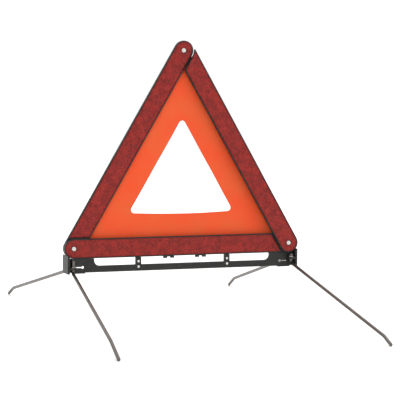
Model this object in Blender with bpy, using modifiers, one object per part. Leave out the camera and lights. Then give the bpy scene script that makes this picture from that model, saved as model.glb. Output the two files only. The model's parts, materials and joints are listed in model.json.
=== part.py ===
"""Folding roadside warning triangle: three reflector arms, a fabric panel, a base and four wire legs.

The triangle faces -Y, stands on Z = 0 and is centred on X = 0. Metres throughout.

The three arms have one shape. Each has a head, which is a round end with its rivet showing, and
a tail, which ends beside the next arm's head. Going round, the bottom arm runs from the left
pivot to the right one, the right arm from there to the apex, and the left arm back down to the
left pivot. The right arm turns in front of the bottom arm and the left arm behind it. The left
arm leans a little forward, so its top comes level with the bottom arm and just behind the
right arm, where a snap stud joins the two.
"""

import math

import bmesh
import bpy
from mathutils import Matrix, Vector

# Overall triangle
PIVOT_SPACING = 0.410  # between two neighbouring pivots, along an arm
HALF_SPACING = PIVOT_SPACING / 2  # X of the right pivot
PIVOT_HEIGHT = 0.1346  # of the two lower pivots above the ground
CORNER_ANGLE = math.radians(60)

# Clearances
SEAT_GAP = 0.0003  # between pieces that rest on each other
BORE_GAP = 0.0003  # round a pin in its bore
LAYER_GAP = 0.0010  # between two arms that turn past each other
SLIT = 0.0005  # between the right arm's tail and the left arm's head

# Arms: a black tray with a rim, and the reflector lens in it
ARM_HALF_WIDTH = 0.0178
ARM_DEPTH = 0.0056  # rear of the tray to front of the lens
RIM_SET_BACK = 0.0004  # rim behind the lens face
TRAY_FLOOR = 0.0024
RIM_WIDTH = 0.0022
TAIL_RIM = 0.0011  # rim across the right arm's tail
TAIL_TURN = 245  # degrees round the apex at which the right arm's tail is cut off blunt
TRAY_RECESS = 0.0010  # weight-saving hollows in the tray's rear
TRAY_RECESS_HALF_WIDTH = 0.0125
TRAY_RECESS_COUNT = 4
TRAY_RECESS_RIB = 0.006
TRAY_RECESS_END = 0.045  # solid stretch left at each end of the tray

# Pivots, rivets and the snap stud
RIVET_SHANK_RADIUS = 0.0020
RIVET_HEAD_RADIUS = 0.0043
RIVET_REAR_HEAD_RADIUS = 0.0048
RIVET_REAR_HEAD_HEIGHT = 0.0012
RIVET_HEAD_PROUD = 0.0003  # above the lens face
RIVET_WELL_RADIUS = 0.0050  # round hole in the lens
PIVOT_WASHER_RADIUS = 0.0065
WASHER_THICKNESS = 0.0008
EAR_REACH = 0.028  # snap stud's distance from the apex, behind the right arm
EAR_RADIUS = 0.0070
STUD_RADIUS = 0.0030
STUD_HEIGHT = 0.0007
DIMPLE_RADIUS = 0.0036
DIMPLE_DEPTH = 0.0012

# Fabric panel
PANEL_THICKNESS = 0.0008
PANEL_GAP = 0.00035  # behind the left arm
PANEL_HOLE_INSET = 0.0603  # hole's edges inside the lines between the pivots
PANEL_HOLE_CORNER = 0.0065
PANEL_CORNER_CUT = 0.017  # how far short of the lower pivots the panel ends
PANEL_LOWER_EDGE = 0.004  # above the line between the lower pivots
PANEL_APEX_RADIUS = 0.009
PANEL_TAB_X = HALF_SPACING - 0.0270
PANEL_TAB_DROP = ARM_HALF_WIDTH + 0.0067  # tab's screw below the lower pivots
PANEL_TAB_HALF_WIDTH = 0.0045

# Base rail, with heights given as drops below the lower pivots
ARM_CLEARANCE = 0.0005
RAIL_TOP_DROP = ARM_HALF_WIDTH + 0.0134
RAIL_BOTTOM_DROP = ARM_HALF_WIDTH + 0.0257
RAIL_END_BOTTOM_DROP = ARM_HALF_WIDTH + 0.0268
RAIL_FRONT = -ARM_DEPTH - 0.0006  # Y of the plate's front
RAIL_WALL = 0.0030
RAIL_BAR_PROUD = 0.0004
RAIL_BAR_ROUNDING = 0.0035
RAIL_FLANGE_REAR = 0.0060
RAIL_FLANGE_THICKNESS = 0.0025
RAIL_BAR_HALF_LENGTH = HALF_SPACING - 0.0188
RAIL_HALF_LENGTH = HALF_SPACING + 0.0046
RAISED_END_START = HALF_SPACING - 0.0370
RAISED_END_FILLET = 0.010
END_LIP_HEIGHT = 0.0020  # lip behind the raised end's top, as deep as the bottom arm
POST_X = 0.085
POST_HALF_WIDTH = 0.0052
POST_FILLET = 0.0015
POST_RIVET_DROPS = (ARM_HALF_WIDTH + 0.0077, ARM_HALF_WIDTH + 0.0175)
POST_RIVET_HEAD_RADIUS = 0.0022
POST_RIVET_SHANK_RADIUS = 0.0014
POST_RIVET_HEAD_HEIGHT = 0.0010
ARM_LUG_DEPTH = 0.0026
ARM_LUG_HALF_WIDTH = 0.0048
ARM_LUG_DROP = ARM_HALF_WIDTH + 0.0220
RIB_XS = (0.022, 0.052, 0.115, 0.145)
RIB_THICKNESS = 0.0018
RIB_TOP_DROP = ARM_HALF_WIDTH + 0.0184
KEYHOLE_X = HALF_SPACING - 0.0158
KEYHOLE_DROP = ARM_HALF_WIDTH + 0.0157
KEYHOLE_RADIUS = 0.0026
KEYHOLE_SLOT_END = HALF_SPACING - 0.0023
KEYHOLE_SLOT_HALF_HEIGHT = 0.0010
PANEL_BOSS_RADIUS = 0.0036
PANEL_SCREW_RADIUS = 0.0013
PANEL_SCREW_HEAD_RADIUS = 0.0030
PANEL_SCREW_HEAD_HEIGHT = 0.0012
PANEL_SCREW_DEPTH = 0.0075
PANEL_WASHER_RADIUS = 0.0045
PANEL_WASHER_THICKNESS = 0.0006

# Loop clips under the bottom arm: a strip with two feet and two pegs
CLIP_XS = {"left": -0.0268, "right": 0.0345}
CLIP_HALF_WIDTH = 0.0102
CLIP_HALF_GAP = 0.0032  # half the gap between the feet
CLIP_STRIP = 0.0010
CLIP_HEIGHT = 0.0036
CLIP_FRONT = -0.0044
CLIP_REAR = -0.0008
CLIP_PEG_X = 0.0067
CLIP_PEG_RADIUS = 0.0010
CLIP_DEPTH_IN_ARM = 0.0012

# End brackets
BRACKET_OUTSIDE_X = HALF_SPACING + 0.0150
BRACKET_WALL = 0.0040
BRACKET_HALF_DEPTH = 0.0180
BRACKET_BOTTOM_DROP = ARM_HALF_WIDTH + 0.0262
BRACKET_TOP_DROP = ARM_HALF_WIDTH - 0.0068
BRACKET_ARM_CLEARANCE = 0.0006
LUG_THICKNESS = 0.0036
LUG_INSIDE_X = HALF_SPACING - 0.0020
LUG_INNER_Y = 0.0010 - RAIL_FRONT
LUG_WALL = 0.0018  # inside a leg's bore, towards the rail
LUG_REACH = 0.0050  # outside a leg's wire
TONGUE_FRONT = RAIL_FRONT + RAIL_WALL + SEAT_GAP
TONGUE_THICKNESS = 0.0032
TONGUE_START_X = HALF_SPACING + 0.0035
TONGUE_END_X = HALF_SPACING - 0.0195
TONGUE_TOP_DROP = ARM_HALF_WIDTH + SEAT_GAP
TONGUE_LOW_DROP = ARM_HALF_WIDTH + 0.0107
BRACKET_SCREW_XS = (HALF_SPACING - 0.0025, HALF_SPACING - 0.0150)
BRACKET_SCREW_DROP = ARM_HALF_WIDTH + 0.0062
BRACKET_SCREW_RADIUS = 0.0015
BRACKET_SCREW_HEAD_RADIUS = 0.0027
BRACKET_SCREW_HEAD_HEIGHT = 0.0012
BRACKET_SCREW_SKIN = 0.0010  # of the rail left in front of a screw's bore

# Wire legs
WIRE_RADIUS = 0.0030
LEG_ROOT_X = HALF_SPACING + 0.0040
LEG_ROOT_Y = LUG_INNER_Y + LUG_WALL + WIRE_RADIUS
# Each root's drop below the lower pivots. Right legs lie over left ones when stowed.
LEG_ROOT_DROPS = {
    "front_left": ARM_HALF_WIDTH + 0.0253,
    "front_right": ARM_HALF_WIDTH + 0.0187,
    "rear_left": ARM_HALF_WIDTH + 0.0211,
    "rear_right": ARM_HALF_WIDTH + 0.0145,
}
FOOT_X = HALF_SPACING + 0.0300
FOOT_Y = 0.3975
# Length of each leg's bent end and its slope to the ground in degrees, which differ from leg to leg.
SHINS = {
    "front_left": (0.065, 18),
    "front_right": (0.028, 25),
    "rear_left": (0.036, 25),
    "rear_right": (0.044, 25),
}
ELBOW_RADIUS = 2 * WIRE_RADIUS
KNEE_RADIUS = 0.040
PIVOT_TOP_DROP = ARM_HALF_WIDTH + 0.0014
RETAINER_RADIUS = WIRE_RADIUS + 0.0018
RETAINER_THICKNESS = 0.0010

ROUND_STEPS = 24
ARC_STEPS = 12
ROD_TURN = math.radians(3)
SLIVER = 0.00001  # corners closer than this are one corner

TRIANGLE_RISE = PIVOT_SPACING * math.sin(CORNER_ANGLE)
LAYER_PITCH = ARM_DEPTH + LAYER_GAP
LEAN = math.asin(LAYER_PITCH / TRIANGLE_RISE)
RIM_FRONT = RIM_SET_BACK - ARM_DEPTH
RAIL_TOP = -ARM_HALF_WIDTH - ARM_CLEARANCE
FRONT_TO_UP = Matrix.Rotation(math.radians(90), 4, "X")  # turns local +Z to face -Y


# ---------------------------------------------------------------- scene, materials and helpers


def clear_scene():
    """Removes everything the startup scene holds."""
    for obj in list(bpy.data.objects):
        bpy.data.objects.remove(obj)
    for collection in list(bpy.data.collections):
        bpy.data.collections.remove(collection)


def new_collection(name):
    collection = bpy.data.collections.new(name)
    bpy.context.scene.collection.children.link(collection)
    return collection


def make_material(name, colour, roughness, metallic=0.0):
    """A Principled material from linear colour, roughness and metallic values."""
    material = bpy.data.materials.new(name)
    material.use_nodes = True
    shader = material.node_tree.nodes["Principled BSDF"]
    shader.inputs["Base Color"].default_value = (*colour, 1.0)
    shader.inputs["Roughness"].default_value = roughness
    shader.inputs["Metallic"].default_value = metallic
    return material


def add_part(name, mesh, material, matrix=None, parent=None):
    """Links a finished mesh as one named part, placed by matrix under parent."""
    obj = bpy.data.objects.new(name, mesh)
    mesh.materials.append(material)
    mesh.shade_smooth()
    mesh.set_sharp_from_angle(angle=math.radians(35))
    PARTS.objects.link(obj)
    obj.parent = parent
    obj.matrix_local = matrix or Matrix()
    return obj


def as_cutter(obj):
    """Moves an object to the cutters, which are not part of the model."""
    PARTS.objects.unlink(obj)
    CUTTERS.objects.link(obj)
    obj.hide_render = True
    obj.display_type = "WIRE"
    return obj


def boolean(obj, other, operation):
    """Cuts or joins another object, then welds the slivers that a Boolean can leave."""
    modifier = obj.modifiers.new(f"{operation.lower()}_{other.name}", "BOOLEAN")
    modifier.operation = operation
    modifier.solver = "EXACT"
    modifier.object = other
    weld = obj.modifiers.new(f"weld_{other.name}", "WELD")
    weld.merge_threshold = SLIVER


def cut(obj, mesh, name, matrix=None):
    """Takes a closed mesh away from a part. The cutter sits in the part's own frame."""
    cutter = add_part(f"cut_{name}", mesh, BLACK_PLASTIC, matrix, parent=obj)
    boolean(obj, as_cutter(cutter), "DIFFERENCE")


def join(obj, mesh, name, matrix=None):
    """Adds a closed mesh to a part, so that both are one body."""
    added = add_part(f"add_{name}", mesh, BLACK_PLASTIC, matrix, parent=obj)
    boolean(obj, as_cutter(added), "UNION")


def arc(centre, radius, start, end, steps=ARC_STEPS):
    """Points on a circle in XZ, from start to end in degrees, both ends included."""
    turns = [math.radians(start + (end - start) * i / steps) for i in range(steps + 1)]
    return [(centre[0] + radius * math.cos(t), centre[1] + radius * math.sin(t)) for t in turns]


def circle(centre, radius):
    return arc(centre, radius, 0, 360 - 360 / ROUND_STEPS, ROUND_STEPS - 1)


def plate(outlines, front, back):
    """A flat plate that stands in XZ, from outlines of (x, z) points, between two Y values.

    The first outline is the outer edge, and the others are holes in it.
    """
    curve = bpy.data.curves.new("outline", "CURVE")
    curve.dimensions = "2D"
    curve.fill_mode = "BOTH"
    curve.extrude = (back - front) / 2
    for outline in outlines:
        spline = curve.splines.new("POLY")
        spline.points.add(len(outline) - 1)
        for point, (x, z) in zip(spline.points, outline):
            point.co = (x, z, 0, 1)
        spline.use_cyclic_u = True
    return mesh_of(curve, Matrix.Translation((0, (front + back) / 2, 0)) @ FRONT_TO_UP)


def bar_along_x(profile, start, end):
    """A bar along X from start to end, whose section is an outline of (y, z) points."""
    mesh = plate([[(y, z) for y, z in profile]], -(end - start) / 2, (end - start) / 2)
    turn = Matrix.Rotation(math.radians(90), 4, "Z")
    mesh.transform(Matrix.Translation(((start + end) / 2, 0, 0)) @ turn)
    return mesh


def wire(points, radius):
    """A round wire through a list of points, as a closed mesh."""
    curve = bpy.data.curves.new("wire", "CURVE")
    curve.dimensions = "3D"
    curve.bevel_depth = radius
    curve.bevel_resolution = 2
    curve.use_fill_caps = True
    spline = curve.splines.new("POLY")
    spline.points.add(len(points) - 1)
    for point, place in zip(spline.points, points):
        point.co = (*place, 1)
    return mesh_of(curve, Matrix())


def mesh_of(curve, matrix):
    """The mesh of a curve, with its caps welded on and its place in the mesh."""
    guide = bpy.data.objects.new("guide", curve)
    bpy.context.scene.collection.objects.link(guide)
    guide.matrix_world = matrix
    bpy.context.view_layer.update()
    evaluated = guide.evaluated_get(bpy.context.evaluated_depsgraph_get())
    mesh = bpy.data.meshes.new_from_object(evaluated)
    mesh.transform(guide.matrix_world)
    bpy.data.objects.remove(guide)
    shape = bmesh.new()
    shape.from_mesh(mesh)
    bmesh.ops.remove_doubles(shape, verts=shape.verts, dist=1e-6)
    bmesh.ops.recalc_face_normals(shape, faces=shape.faces)
    shape.to_mesh(mesh)
    shape.free()
    return mesh


def box(low, high):
    """A box between two corners."""
    mesh = bpy.data.meshes.new("box")
    shape = bmesh.new()
    bmesh.ops.create_cube(shape, size=1.0)
    size = [abs(b - a) for a, b in zip(low, high)]
    middle = [(a + b) / 2 for a, b in zip(low, high)]
    bmesh.ops.scale(shape, vec=size, verts=shape.verts)
    bmesh.ops.translate(shape, vec=middle, verts=shape.verts)
    shape.to_mesh(mesh)
    shape.free()
    return mesh


def rod(radius, bottom, top):
    """A plain cylinder along local Z between two heights, for bores and bosses.

    Its corners are turned a little, so that none lines up with a corner of an outline's circle.
    """
    mesh = bpy.data.meshes.new("rod")
    shape = bmesh.new()
    bmesh.ops.create_cone(
        shape, cap_ends=True, segments=ROUND_STEPS, radius1=radius, radius2=radius, depth=top - bottom
    )
    bmesh.ops.rotate(shape, matrix=Matrix.Rotation(ROD_TURN, 3, "Z"), verts=shape.verts)
    bmesh.ops.translate(shape, vec=(0, 0, (top + bottom) / 2), verts=shape.verts)
    shape.to_mesh(mesh)
    shape.free()
    return mesh


def turned(name, profile, material, matrix, parent=None, ring=False):
    """A turned piece about local Z from (radius, height) points, listed from the top down.

    A ring's profile goes down its outside and back up its bore.
    """
    mesh = bpy.data.meshes.new(name)
    edges = [(i, i + 1) for i in range(len(profile) - 1)]
    if ring:
        edges.append((len(profile) - 1, 0))
    mesh.from_pydata([(radius, 0, height) for radius, height in profile], edges, [])
    obj = add_part(name, mesh, material, matrix, parent)
    screw = obj.modifiers.new("turn", "SCREW")
    screw.axis = "Z"
    screw.steps = screw.render_steps = ROUND_STEPS
    screw.use_merge_vertices = True
    screw.merge_threshold = 1e-5
    screw.use_smooth_shade = True
    return obj


def washer(name, radius, bore, bottom, thickness, material, matrix, parent=None):
    """A flat washer about local Z, from height bottom."""
    top = bottom + thickness
    profile = [(radius, top), (radius, bottom), (bore, bottom), (bore, top)]
    return turned(name, profile, material, matrix, parent, ring=True)


def facing_front(x, y, z):
    """A frame at a point, with local +Z towards the front, -Y."""
    return Matrix.Translation((x, y, z)) @ FRONT_TO_UP


# ---------------------------------------------------------------------------------------- arms


def tail_x(z, distance):
    """Where a line beside the next arm crosses height z of this arm, in this arm's frame.

    The line runs parallel to the next arm's centre line, at the given distance from it.
    """
    return PIVOT_SPACING - (distance + z * math.cos(CORNER_ANGLE)) / math.sin(CORNER_ANGLE)


def cut_outline(half_width, distance):
    """A strip with a round head at the origin and a slanted tail beside the next arm."""
    return arc((0, 0), half_width, 90, 270) + [
        (tail_x(-half_width, distance), -half_width),
        (tail_x(half_width, distance), half_width),
    ]


def followed_outline(half_width, distance):
    """A strip with a round head at the origin and a tail that follows the next arm and its head."""
    meets_edge = 180 + math.degrees(math.asin(half_width / distance))
    end = min(meets_edge, TAIL_TURN)
    tail = arc((PIVOT_SPACING, 0), distance, end, 270 - math.degrees(CORNER_ANGLE))
    blunt = [(tail[0][0], -half_width)] if meets_edge > TAIL_TURN else []
    return arc((0, 0), half_width, 90, 270) + blunt + tail + [(tail_x(half_width, distance), half_width)]


def stadium_outline(half_width):
    """A strip with a round head at the origin and a round tail at the next pivot."""
    return arc((0, 0), half_width, 90, 270) + arc((PIVOT_SPACING, 0), half_width, -90, 90)


def ear_tip():
    """The middle of the ear's round end, which reaches from the head along the next arm."""
    return (EAR_REACH * math.cos(CORNER_ANGLE), EAR_REACH * math.sin(CORNER_ANGLE))


def ear_outline():
    """The ear's edge, from the arm's straight edge round the tip and back to that edge."""
    angle = math.degrees(CORNER_ANGLE)

    def foot(side):
        along = (ARM_HALF_WIDTH + side * EAR_RADIUS * math.cos(CORNER_ANGLE)) / math.sin(CORNER_ANGLE)
        return (along * math.cos(CORNER_ANGLE) + side * EAR_RADIUS * math.sin(CORNER_ANGLE), ARM_HALF_WIDTH)

    return [foot(1), *arc(ear_tip(), EAR_RADIUS, angle - 90, angle + 90), foot(-1)]


LENS_TAIL_DISTANCE = ARM_HALF_WIDTH + RIM_WIDTH
RIGHT_LENS_TAIL_DISTANCE = ARM_HALF_WIDTH + SLIT + TAIL_RIM
LENS_HALF_WIDTH = ARM_HALF_WIDTH - RIM_WIDTH
BORE_RADIUS = RIVET_SHANK_RADIUS + BORE_GAP


def lens_outline(right, gap=0.0):
    """The lens's edge, grown by a gap. The right arm's lens follows the apex, the others end straight."""
    if right:
        return followed_outline(LENS_HALF_WIDTH + gap, RIGHT_LENS_TAIL_DISTANCE - gap)
    return cut_outline(LENS_HALF_WIDTH + gap, LENS_TAIL_DISTANCE - gap)


def make_tray(name, outline, bores, matrix, parent=None, right=False):
    """An arm's black tray, with the pocket for its lens and the hollows in its rear."""
    holes = [circle((x, 0), BORE_RADIUS) for x in bores]
    tray = add_part(name, plate([outline, *holes], RIM_FRONT, 0), BLACK_PLASTIC, matrix, parent)
    pocket = lens_outline(right, SEAT_GAP)
    cut(tray, plate([pocket], -2 * ARM_DEPTH, -TRAY_FLOOR), f"{name}_pocket")
    span = PIVOT_SPACING - 2 * TRAY_RECESS_END + TRAY_RECESS_RIB
    length = span / TRAY_RECESS_COUNT - TRAY_RECESS_RIB
    for i in range(TRAY_RECESS_COUNT):
        start = TRAY_RECESS_END + i * (length + TRAY_RECESS_RIB)
        low = (start, -TRAY_RECESS, -TRAY_RECESS_HALF_WIDTH)
        high = (start + length, TRAY_RECESS, TRAY_RECESS_HALF_WIDTH)
        cut(tray, box(low, high), f"{name}_recess_{i + 1}")
    return tray


def make_lens(name, matrix, parent=None, right=False):
    """An arm's reflector lens, with the round well for its rivet head."""
    mesh = plate([lens_outline(right), circle((0, 0), RIVET_WELL_RADIUS)], -ARM_DEPTH, -TRAY_FLOOR - SEAT_GAP)
    return add_part(name, mesh, RED_LENS, matrix, parent)


def make_pivot_rivet(name, rear_seat, matrix, parent=None):
    """A rivet whose head stands on a tray's floor and whose rear head closes on rear_seat.

    Heights are local, with the tray's rear face at 0 and the front at plus.
    """
    head_seat = TRAY_FLOOR + SEAT_GAP
    top = ARM_DEPTH + RIVET_HEAD_PROUD
    rear = rear_seat - SEAT_GAP
    profile = [
        (0, top - 0.0008),
        (RIVET_HEAD_RADIUS * 0.30, top - 0.0008),
        (RIVET_HEAD_RADIUS * 0.42, top),
        (RIVET_HEAD_RADIUS * 0.75, top - 0.0002),
        (RIVET_HEAD_RADIUS, top - 0.0010),
        (RIVET_HEAD_RADIUS, head_seat),
        (RIVET_SHANK_RADIUS, head_seat),
        (RIVET_SHANK_RADIUS, rear),
        (RIVET_REAR_HEAD_RADIUS, rear),
        (RIVET_REAR_HEAD_RADIUS * 0.7, rear - RIVET_REAR_HEAD_HEIGHT),
        (0, rear - RIVET_REAR_HEAD_HEIGHT),
    ]
    return turned(name, profile, RIVET_STEEL, matrix @ FRONT_TO_UP, parent)


def make_pivot_washer(name, matrix, parent=None):
    """The thin washer between two trays, on the next tray's rear face at local height 0."""
    gap = LAYER_GAP + RIM_SET_BACK
    bottom = -(gap + WASHER_THICKNESS) / 2
    frame = matrix @ FRONT_TO_UP
    return washer(name, PIVOT_WASHER_RADIUS, BORE_RADIUS, bottom, WASHER_THICKNESS, NYLON, frame, parent)


def make_bottom_arm():
    """The bottom arm, which is fixed to the base rail by two lugs."""
    matrix = Matrix.Translation((-HALF_SPACING, 0, PIVOT_HEIGHT))
    tray = make_tray("bottom_arm_back", stadium_outline(ARM_HALF_WIDTH), (0, PIVOT_SPACING), matrix)
    for side in (-1, 1):
        middle = HALF_SPACING + side * POST_X
        holes = [circle((middle, -drop), POST_RIVET_SHANK_RADIUS + BORE_GAP) for drop in POST_RIVET_DROPS]
        low, high = -ARM_LUG_DROP, TRAY_FLOOR - ARM_HALF_WIDTH
        edges = (middle - ARM_LUG_HALF_WIDTH, middle + ARM_LUG_HALF_WIDTH)
        lug = [(edges[0], low), (edges[1], low), (edges[1], high), (edges[0], high)]
        join(tray, plate([lug, *holes], -ARM_LUG_DEPTH, -SEAT_GAP), f"arm_lug_{side}")
    well = rod(RIVET_REAR_HEAD_RADIUS + 2 * BORE_GAP, -ARM_DEPTH, rear_well_depth())
    cut(tray, well, "rear_well", Matrix.Translation((PIVOT_SPACING, 0, 0)) @ FRONT_TO_UP)
    for clip_x in CLIP_XS.values():
        for side in (-1, 1):
            x = HALF_SPACING + clip_x + side * CLIP_PEG_X
            bore = rod(CLIP_PEG_RADIUS + BORE_GAP, -ARM_HALF_WIDTH - 0.004, clip_peg_top() + SEAT_GAP)
            cut(tray, bore, f"clip_bore_{x:.4f}", Matrix.Translation((x, clip_middle(), 0)))
    make_lens("bottom_arm_lens", matrix)


def rear_well_depth():
    """Depth of the well that hides the right pivot's rear head in the bottom arm."""
    return RIVET_REAR_HEAD_HEIGHT + 2 * SEAT_GAP


def clip_peg_top():
    return -ARM_HALF_WIDTH + CLIP_DEPTH_IN_ARM


def clip_middle():
    return (CLIP_FRONT + CLIP_REAR) / 2


def make_right_arm():
    """The right arm, hinged in front of the bottom arm, and its pivot rivet and washer."""
    turn = Matrix.Rotation(CORNER_ANGLE - math.pi, 4, "Y")
    matrix = Matrix.Translation((HALF_SPACING, -LAYER_PITCH, PIVOT_HEIGHT)) @ turn
    outline = followed_outline(ARM_HALF_WIDTH, ARM_HALF_WIDTH + SLIT)
    tray = make_tray("right_arm_back", outline, (0,), matrix, right=True)
    dimple = rod(DIMPLE_RADIUS, -DIMPLE_DEPTH, DIMPLE_DEPTH)
    cut(tray, dimple, "dimple", Matrix.Translation((PIVOT_SPACING - EAR_REACH, 0, 0)) @ FRONT_TO_UP)
    make_lens("right_arm_lens", matrix, right=True)
    make_pivot_rivet("right_pivot_rivet", rear_well_depth() - LAYER_PITCH, matrix)
    make_pivot_washer("right_pivot_washer", matrix)


def make_left_arm(leaning):
    """The left arm, hinged behind the bottom arm, with its apex rivet and snap stud.

    An ear on its head lies behind the right arm and carries the stud.
    """
    apex = (PIVOT_SPACING * math.cos(CORNER_ANGLE), LAYER_PITCH, TRIANGLE_RISE)
    matrix = Matrix.Translation(apex) @ Matrix.Rotation(math.pi - CORNER_ANGLE, 4, "Y")
    outline = stadium_outline(ARM_HALF_WIDTH) + ear_outline()
    tray = make_tray("left_arm_back", outline, (0, PIVOT_SPACING), matrix, leaning)
    tip = ear_tip()
    stud_frame = Matrix.Translation((tip[0], 0, tip[1])) @ FRONT_TO_UP
    shank = RIVET_SHANK_RADIUS
    cut(tray, rod(shank + BORE_GAP, -ARM_DEPTH, 2 * ARM_DEPTH), "stud_bore", stud_frame)
    make_lens("left_arm_lens", matrix, leaning)
    top = STUD_HEIGHT + SEAT_GAP - RIM_FRONT
    seat = SEAT_GAP - RIM_FRONT
    profile = [
        (0, top),
        (STUD_RADIUS * 0.7, top),
        (STUD_RADIUS, seat + STUD_HEIGHT / 2),
        (STUD_RADIUS, seat),
        (shank, seat),
        (shank, SEAT_GAP),
        (0, SEAT_GAP),
    ]
    turned("apex_snap_stud", profile, RIVET_STEEL, matrix @ stud_frame, leaning)
    washer_bottom = -PANEL_GAP - PANEL_THICKNESS - SEAT_GAP - WASHER_THICKNESS
    frame = matrix @ FRONT_TO_UP
    washer(
        "apex_washer", PIVOT_WASHER_RADIUS, BORE_RADIUS, washer_bottom, WASHER_THICKNESS, RIVET_STEEL, frame, leaning
    )
    make_pivot_rivet("apex_rivet", washer_bottom, matrix, leaning)


def make_left_pivot():
    """The left pivot's rivet, through the bottom arm's head and the left arm's tail."""
    matrix = Matrix.Translation((-HALF_SPACING, 0, PIVOT_HEIGHT))
    make_pivot_rivet("left_pivot_rivet", -LAYER_PITCH, matrix)
    make_pivot_washer("left_pivot_washer", matrix)


# --------------------------------------------------------------------------------------- panel


def panel_front():
    """Y of the panel's front face in the leaning frame."""
    return LAYER_PITCH + PANEL_GAP


def panel_outline():
    """The panel's outer edge in the leaning frame, whose origin is the left pivot."""
    slope = math.tan(CORNER_ANGLE)
    middle = HALF_SPACING
    side_x = middle - PANEL_CORNER_CUT
    side_top = PANEL_CORNER_CUT * slope
    tab = PANEL_TAB_HALF_WIDTH
    right = [
        (PANEL_TAB_X - tab, PANEL_LOWER_EDGE),
        *arc((PANEL_TAB_X, -PANEL_TAB_DROP), tab, 180, 360),
        (PANEL_TAB_X + tab, PANEL_LOWER_EDGE),
        (side_x, PANEL_LOWER_EDGE),
        (side_x, side_top),
        *arc((0, TRIANGLE_RISE), PANEL_APEX_RADIUS, -60, 90, 8),
    ]
    left = [(-x, z) for x, z in reversed(right[:-1])]
    return [(x + middle, z) for x, z in right + left]


def panel_hole():
    """The panel's triangular hole, with rounded corners, in the leaning frame."""
    inner = TRIANGLE_RISE / 3 - PANEL_HOLE_INSET - PANEL_HOLE_CORNER
    centre = (HALF_SPACING, TRIANGLE_RISE / 3)
    outline = []
    for direction in (90, 210, 330):
        turn = math.radians(direction)
        corner = (centre[0] + 2 * inner * math.cos(turn), centre[1] + 2 * inner * math.sin(turn))
        outline += arc(corner, PANEL_HOLE_CORNER, direction - 60, direction + 60, 8)
    return outline


def make_panel(leaning):
    """The fabric panel behind the left arm, with eyelets for the apex rivet and two screws."""
    front = panel_front()
    middle = HALF_SPACING
    eyelets = [circle((middle, TRIANGLE_RISE), BORE_RADIUS)]
    for side in (-1, 1):
        eyelets.append(circle((middle + side * PANEL_TAB_X, -PANEL_TAB_DROP), PANEL_SCREW_RADIUS + 2 * BORE_GAP))
    mesh = plate([panel_outline(), panel_hole(), *eyelets], front, front + PANEL_THICKNESS)
    add_part("orange_panel", mesh, ORANGE_FABRIC, None, leaning)


# ---------------------------------------------------------------------------------------- base


def rail_half_outline():
    """The right half of the rail's front outline, from the bar's top middle round to its bottom."""
    top, bar = RAIL_TOP, -RAIL_TOP_DROP
    inner, outer = POST_X - POST_HALF_WIDTH, POST_X + POST_HALF_WIDTH
    fillet = POST_FILLET
    start = RAISED_END_START - RAISED_END_FILLET
    corner = 0.002
    return [
        *arc((inner - fillet, bar + fillet), fillet, 270, 360, 4),
        (inner, top),
        (outer, top),
        *arc((outer + fillet, bar + fillet), fillet, 180, 270, 4),
        *arc((start, bar + RAISED_END_FILLET), RAISED_END_FILLET, 270, 360, 8),
        (RAISED_END_START, top),
        (RAIL_HALF_LENGTH, top),
        *arc((RAIL_HALF_LENGTH - corner, corner - RAIL_END_BOTTOM_DROP), corner, 0, -90, 4),
        (RAIL_BAR_HALF_LENGTH - 0.001, -RAIL_END_BOTTOM_DROP),
        (RAIL_BAR_HALF_LENGTH - 0.003, -RAIL_BOTTOM_DROP + RAIL_BAR_ROUNDING),
    ]


def keyhole(side):
    """A keyhole's outline: a round hole with a slot towards the rail's end."""
    angle = math.degrees(math.asin(KEYHOLE_SLOT_HALF_HEIGHT / KEYHOLE_RADIUS))
    hole = arc((KEYHOLE_X, -KEYHOLE_DROP), KEYHOLE_RADIUS, angle, 360 - angle, 16)
    end = (KEYHOLE_SLOT_END - KEYHOLE_SLOT_HALF_HEIGHT, -KEYHOLE_DROP)
    slot = arc(end, KEYHOLE_SLOT_HALF_HEIGHT, -90, 90, 8)
    return [(side * x, z) for x, z in hole + slot]


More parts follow.
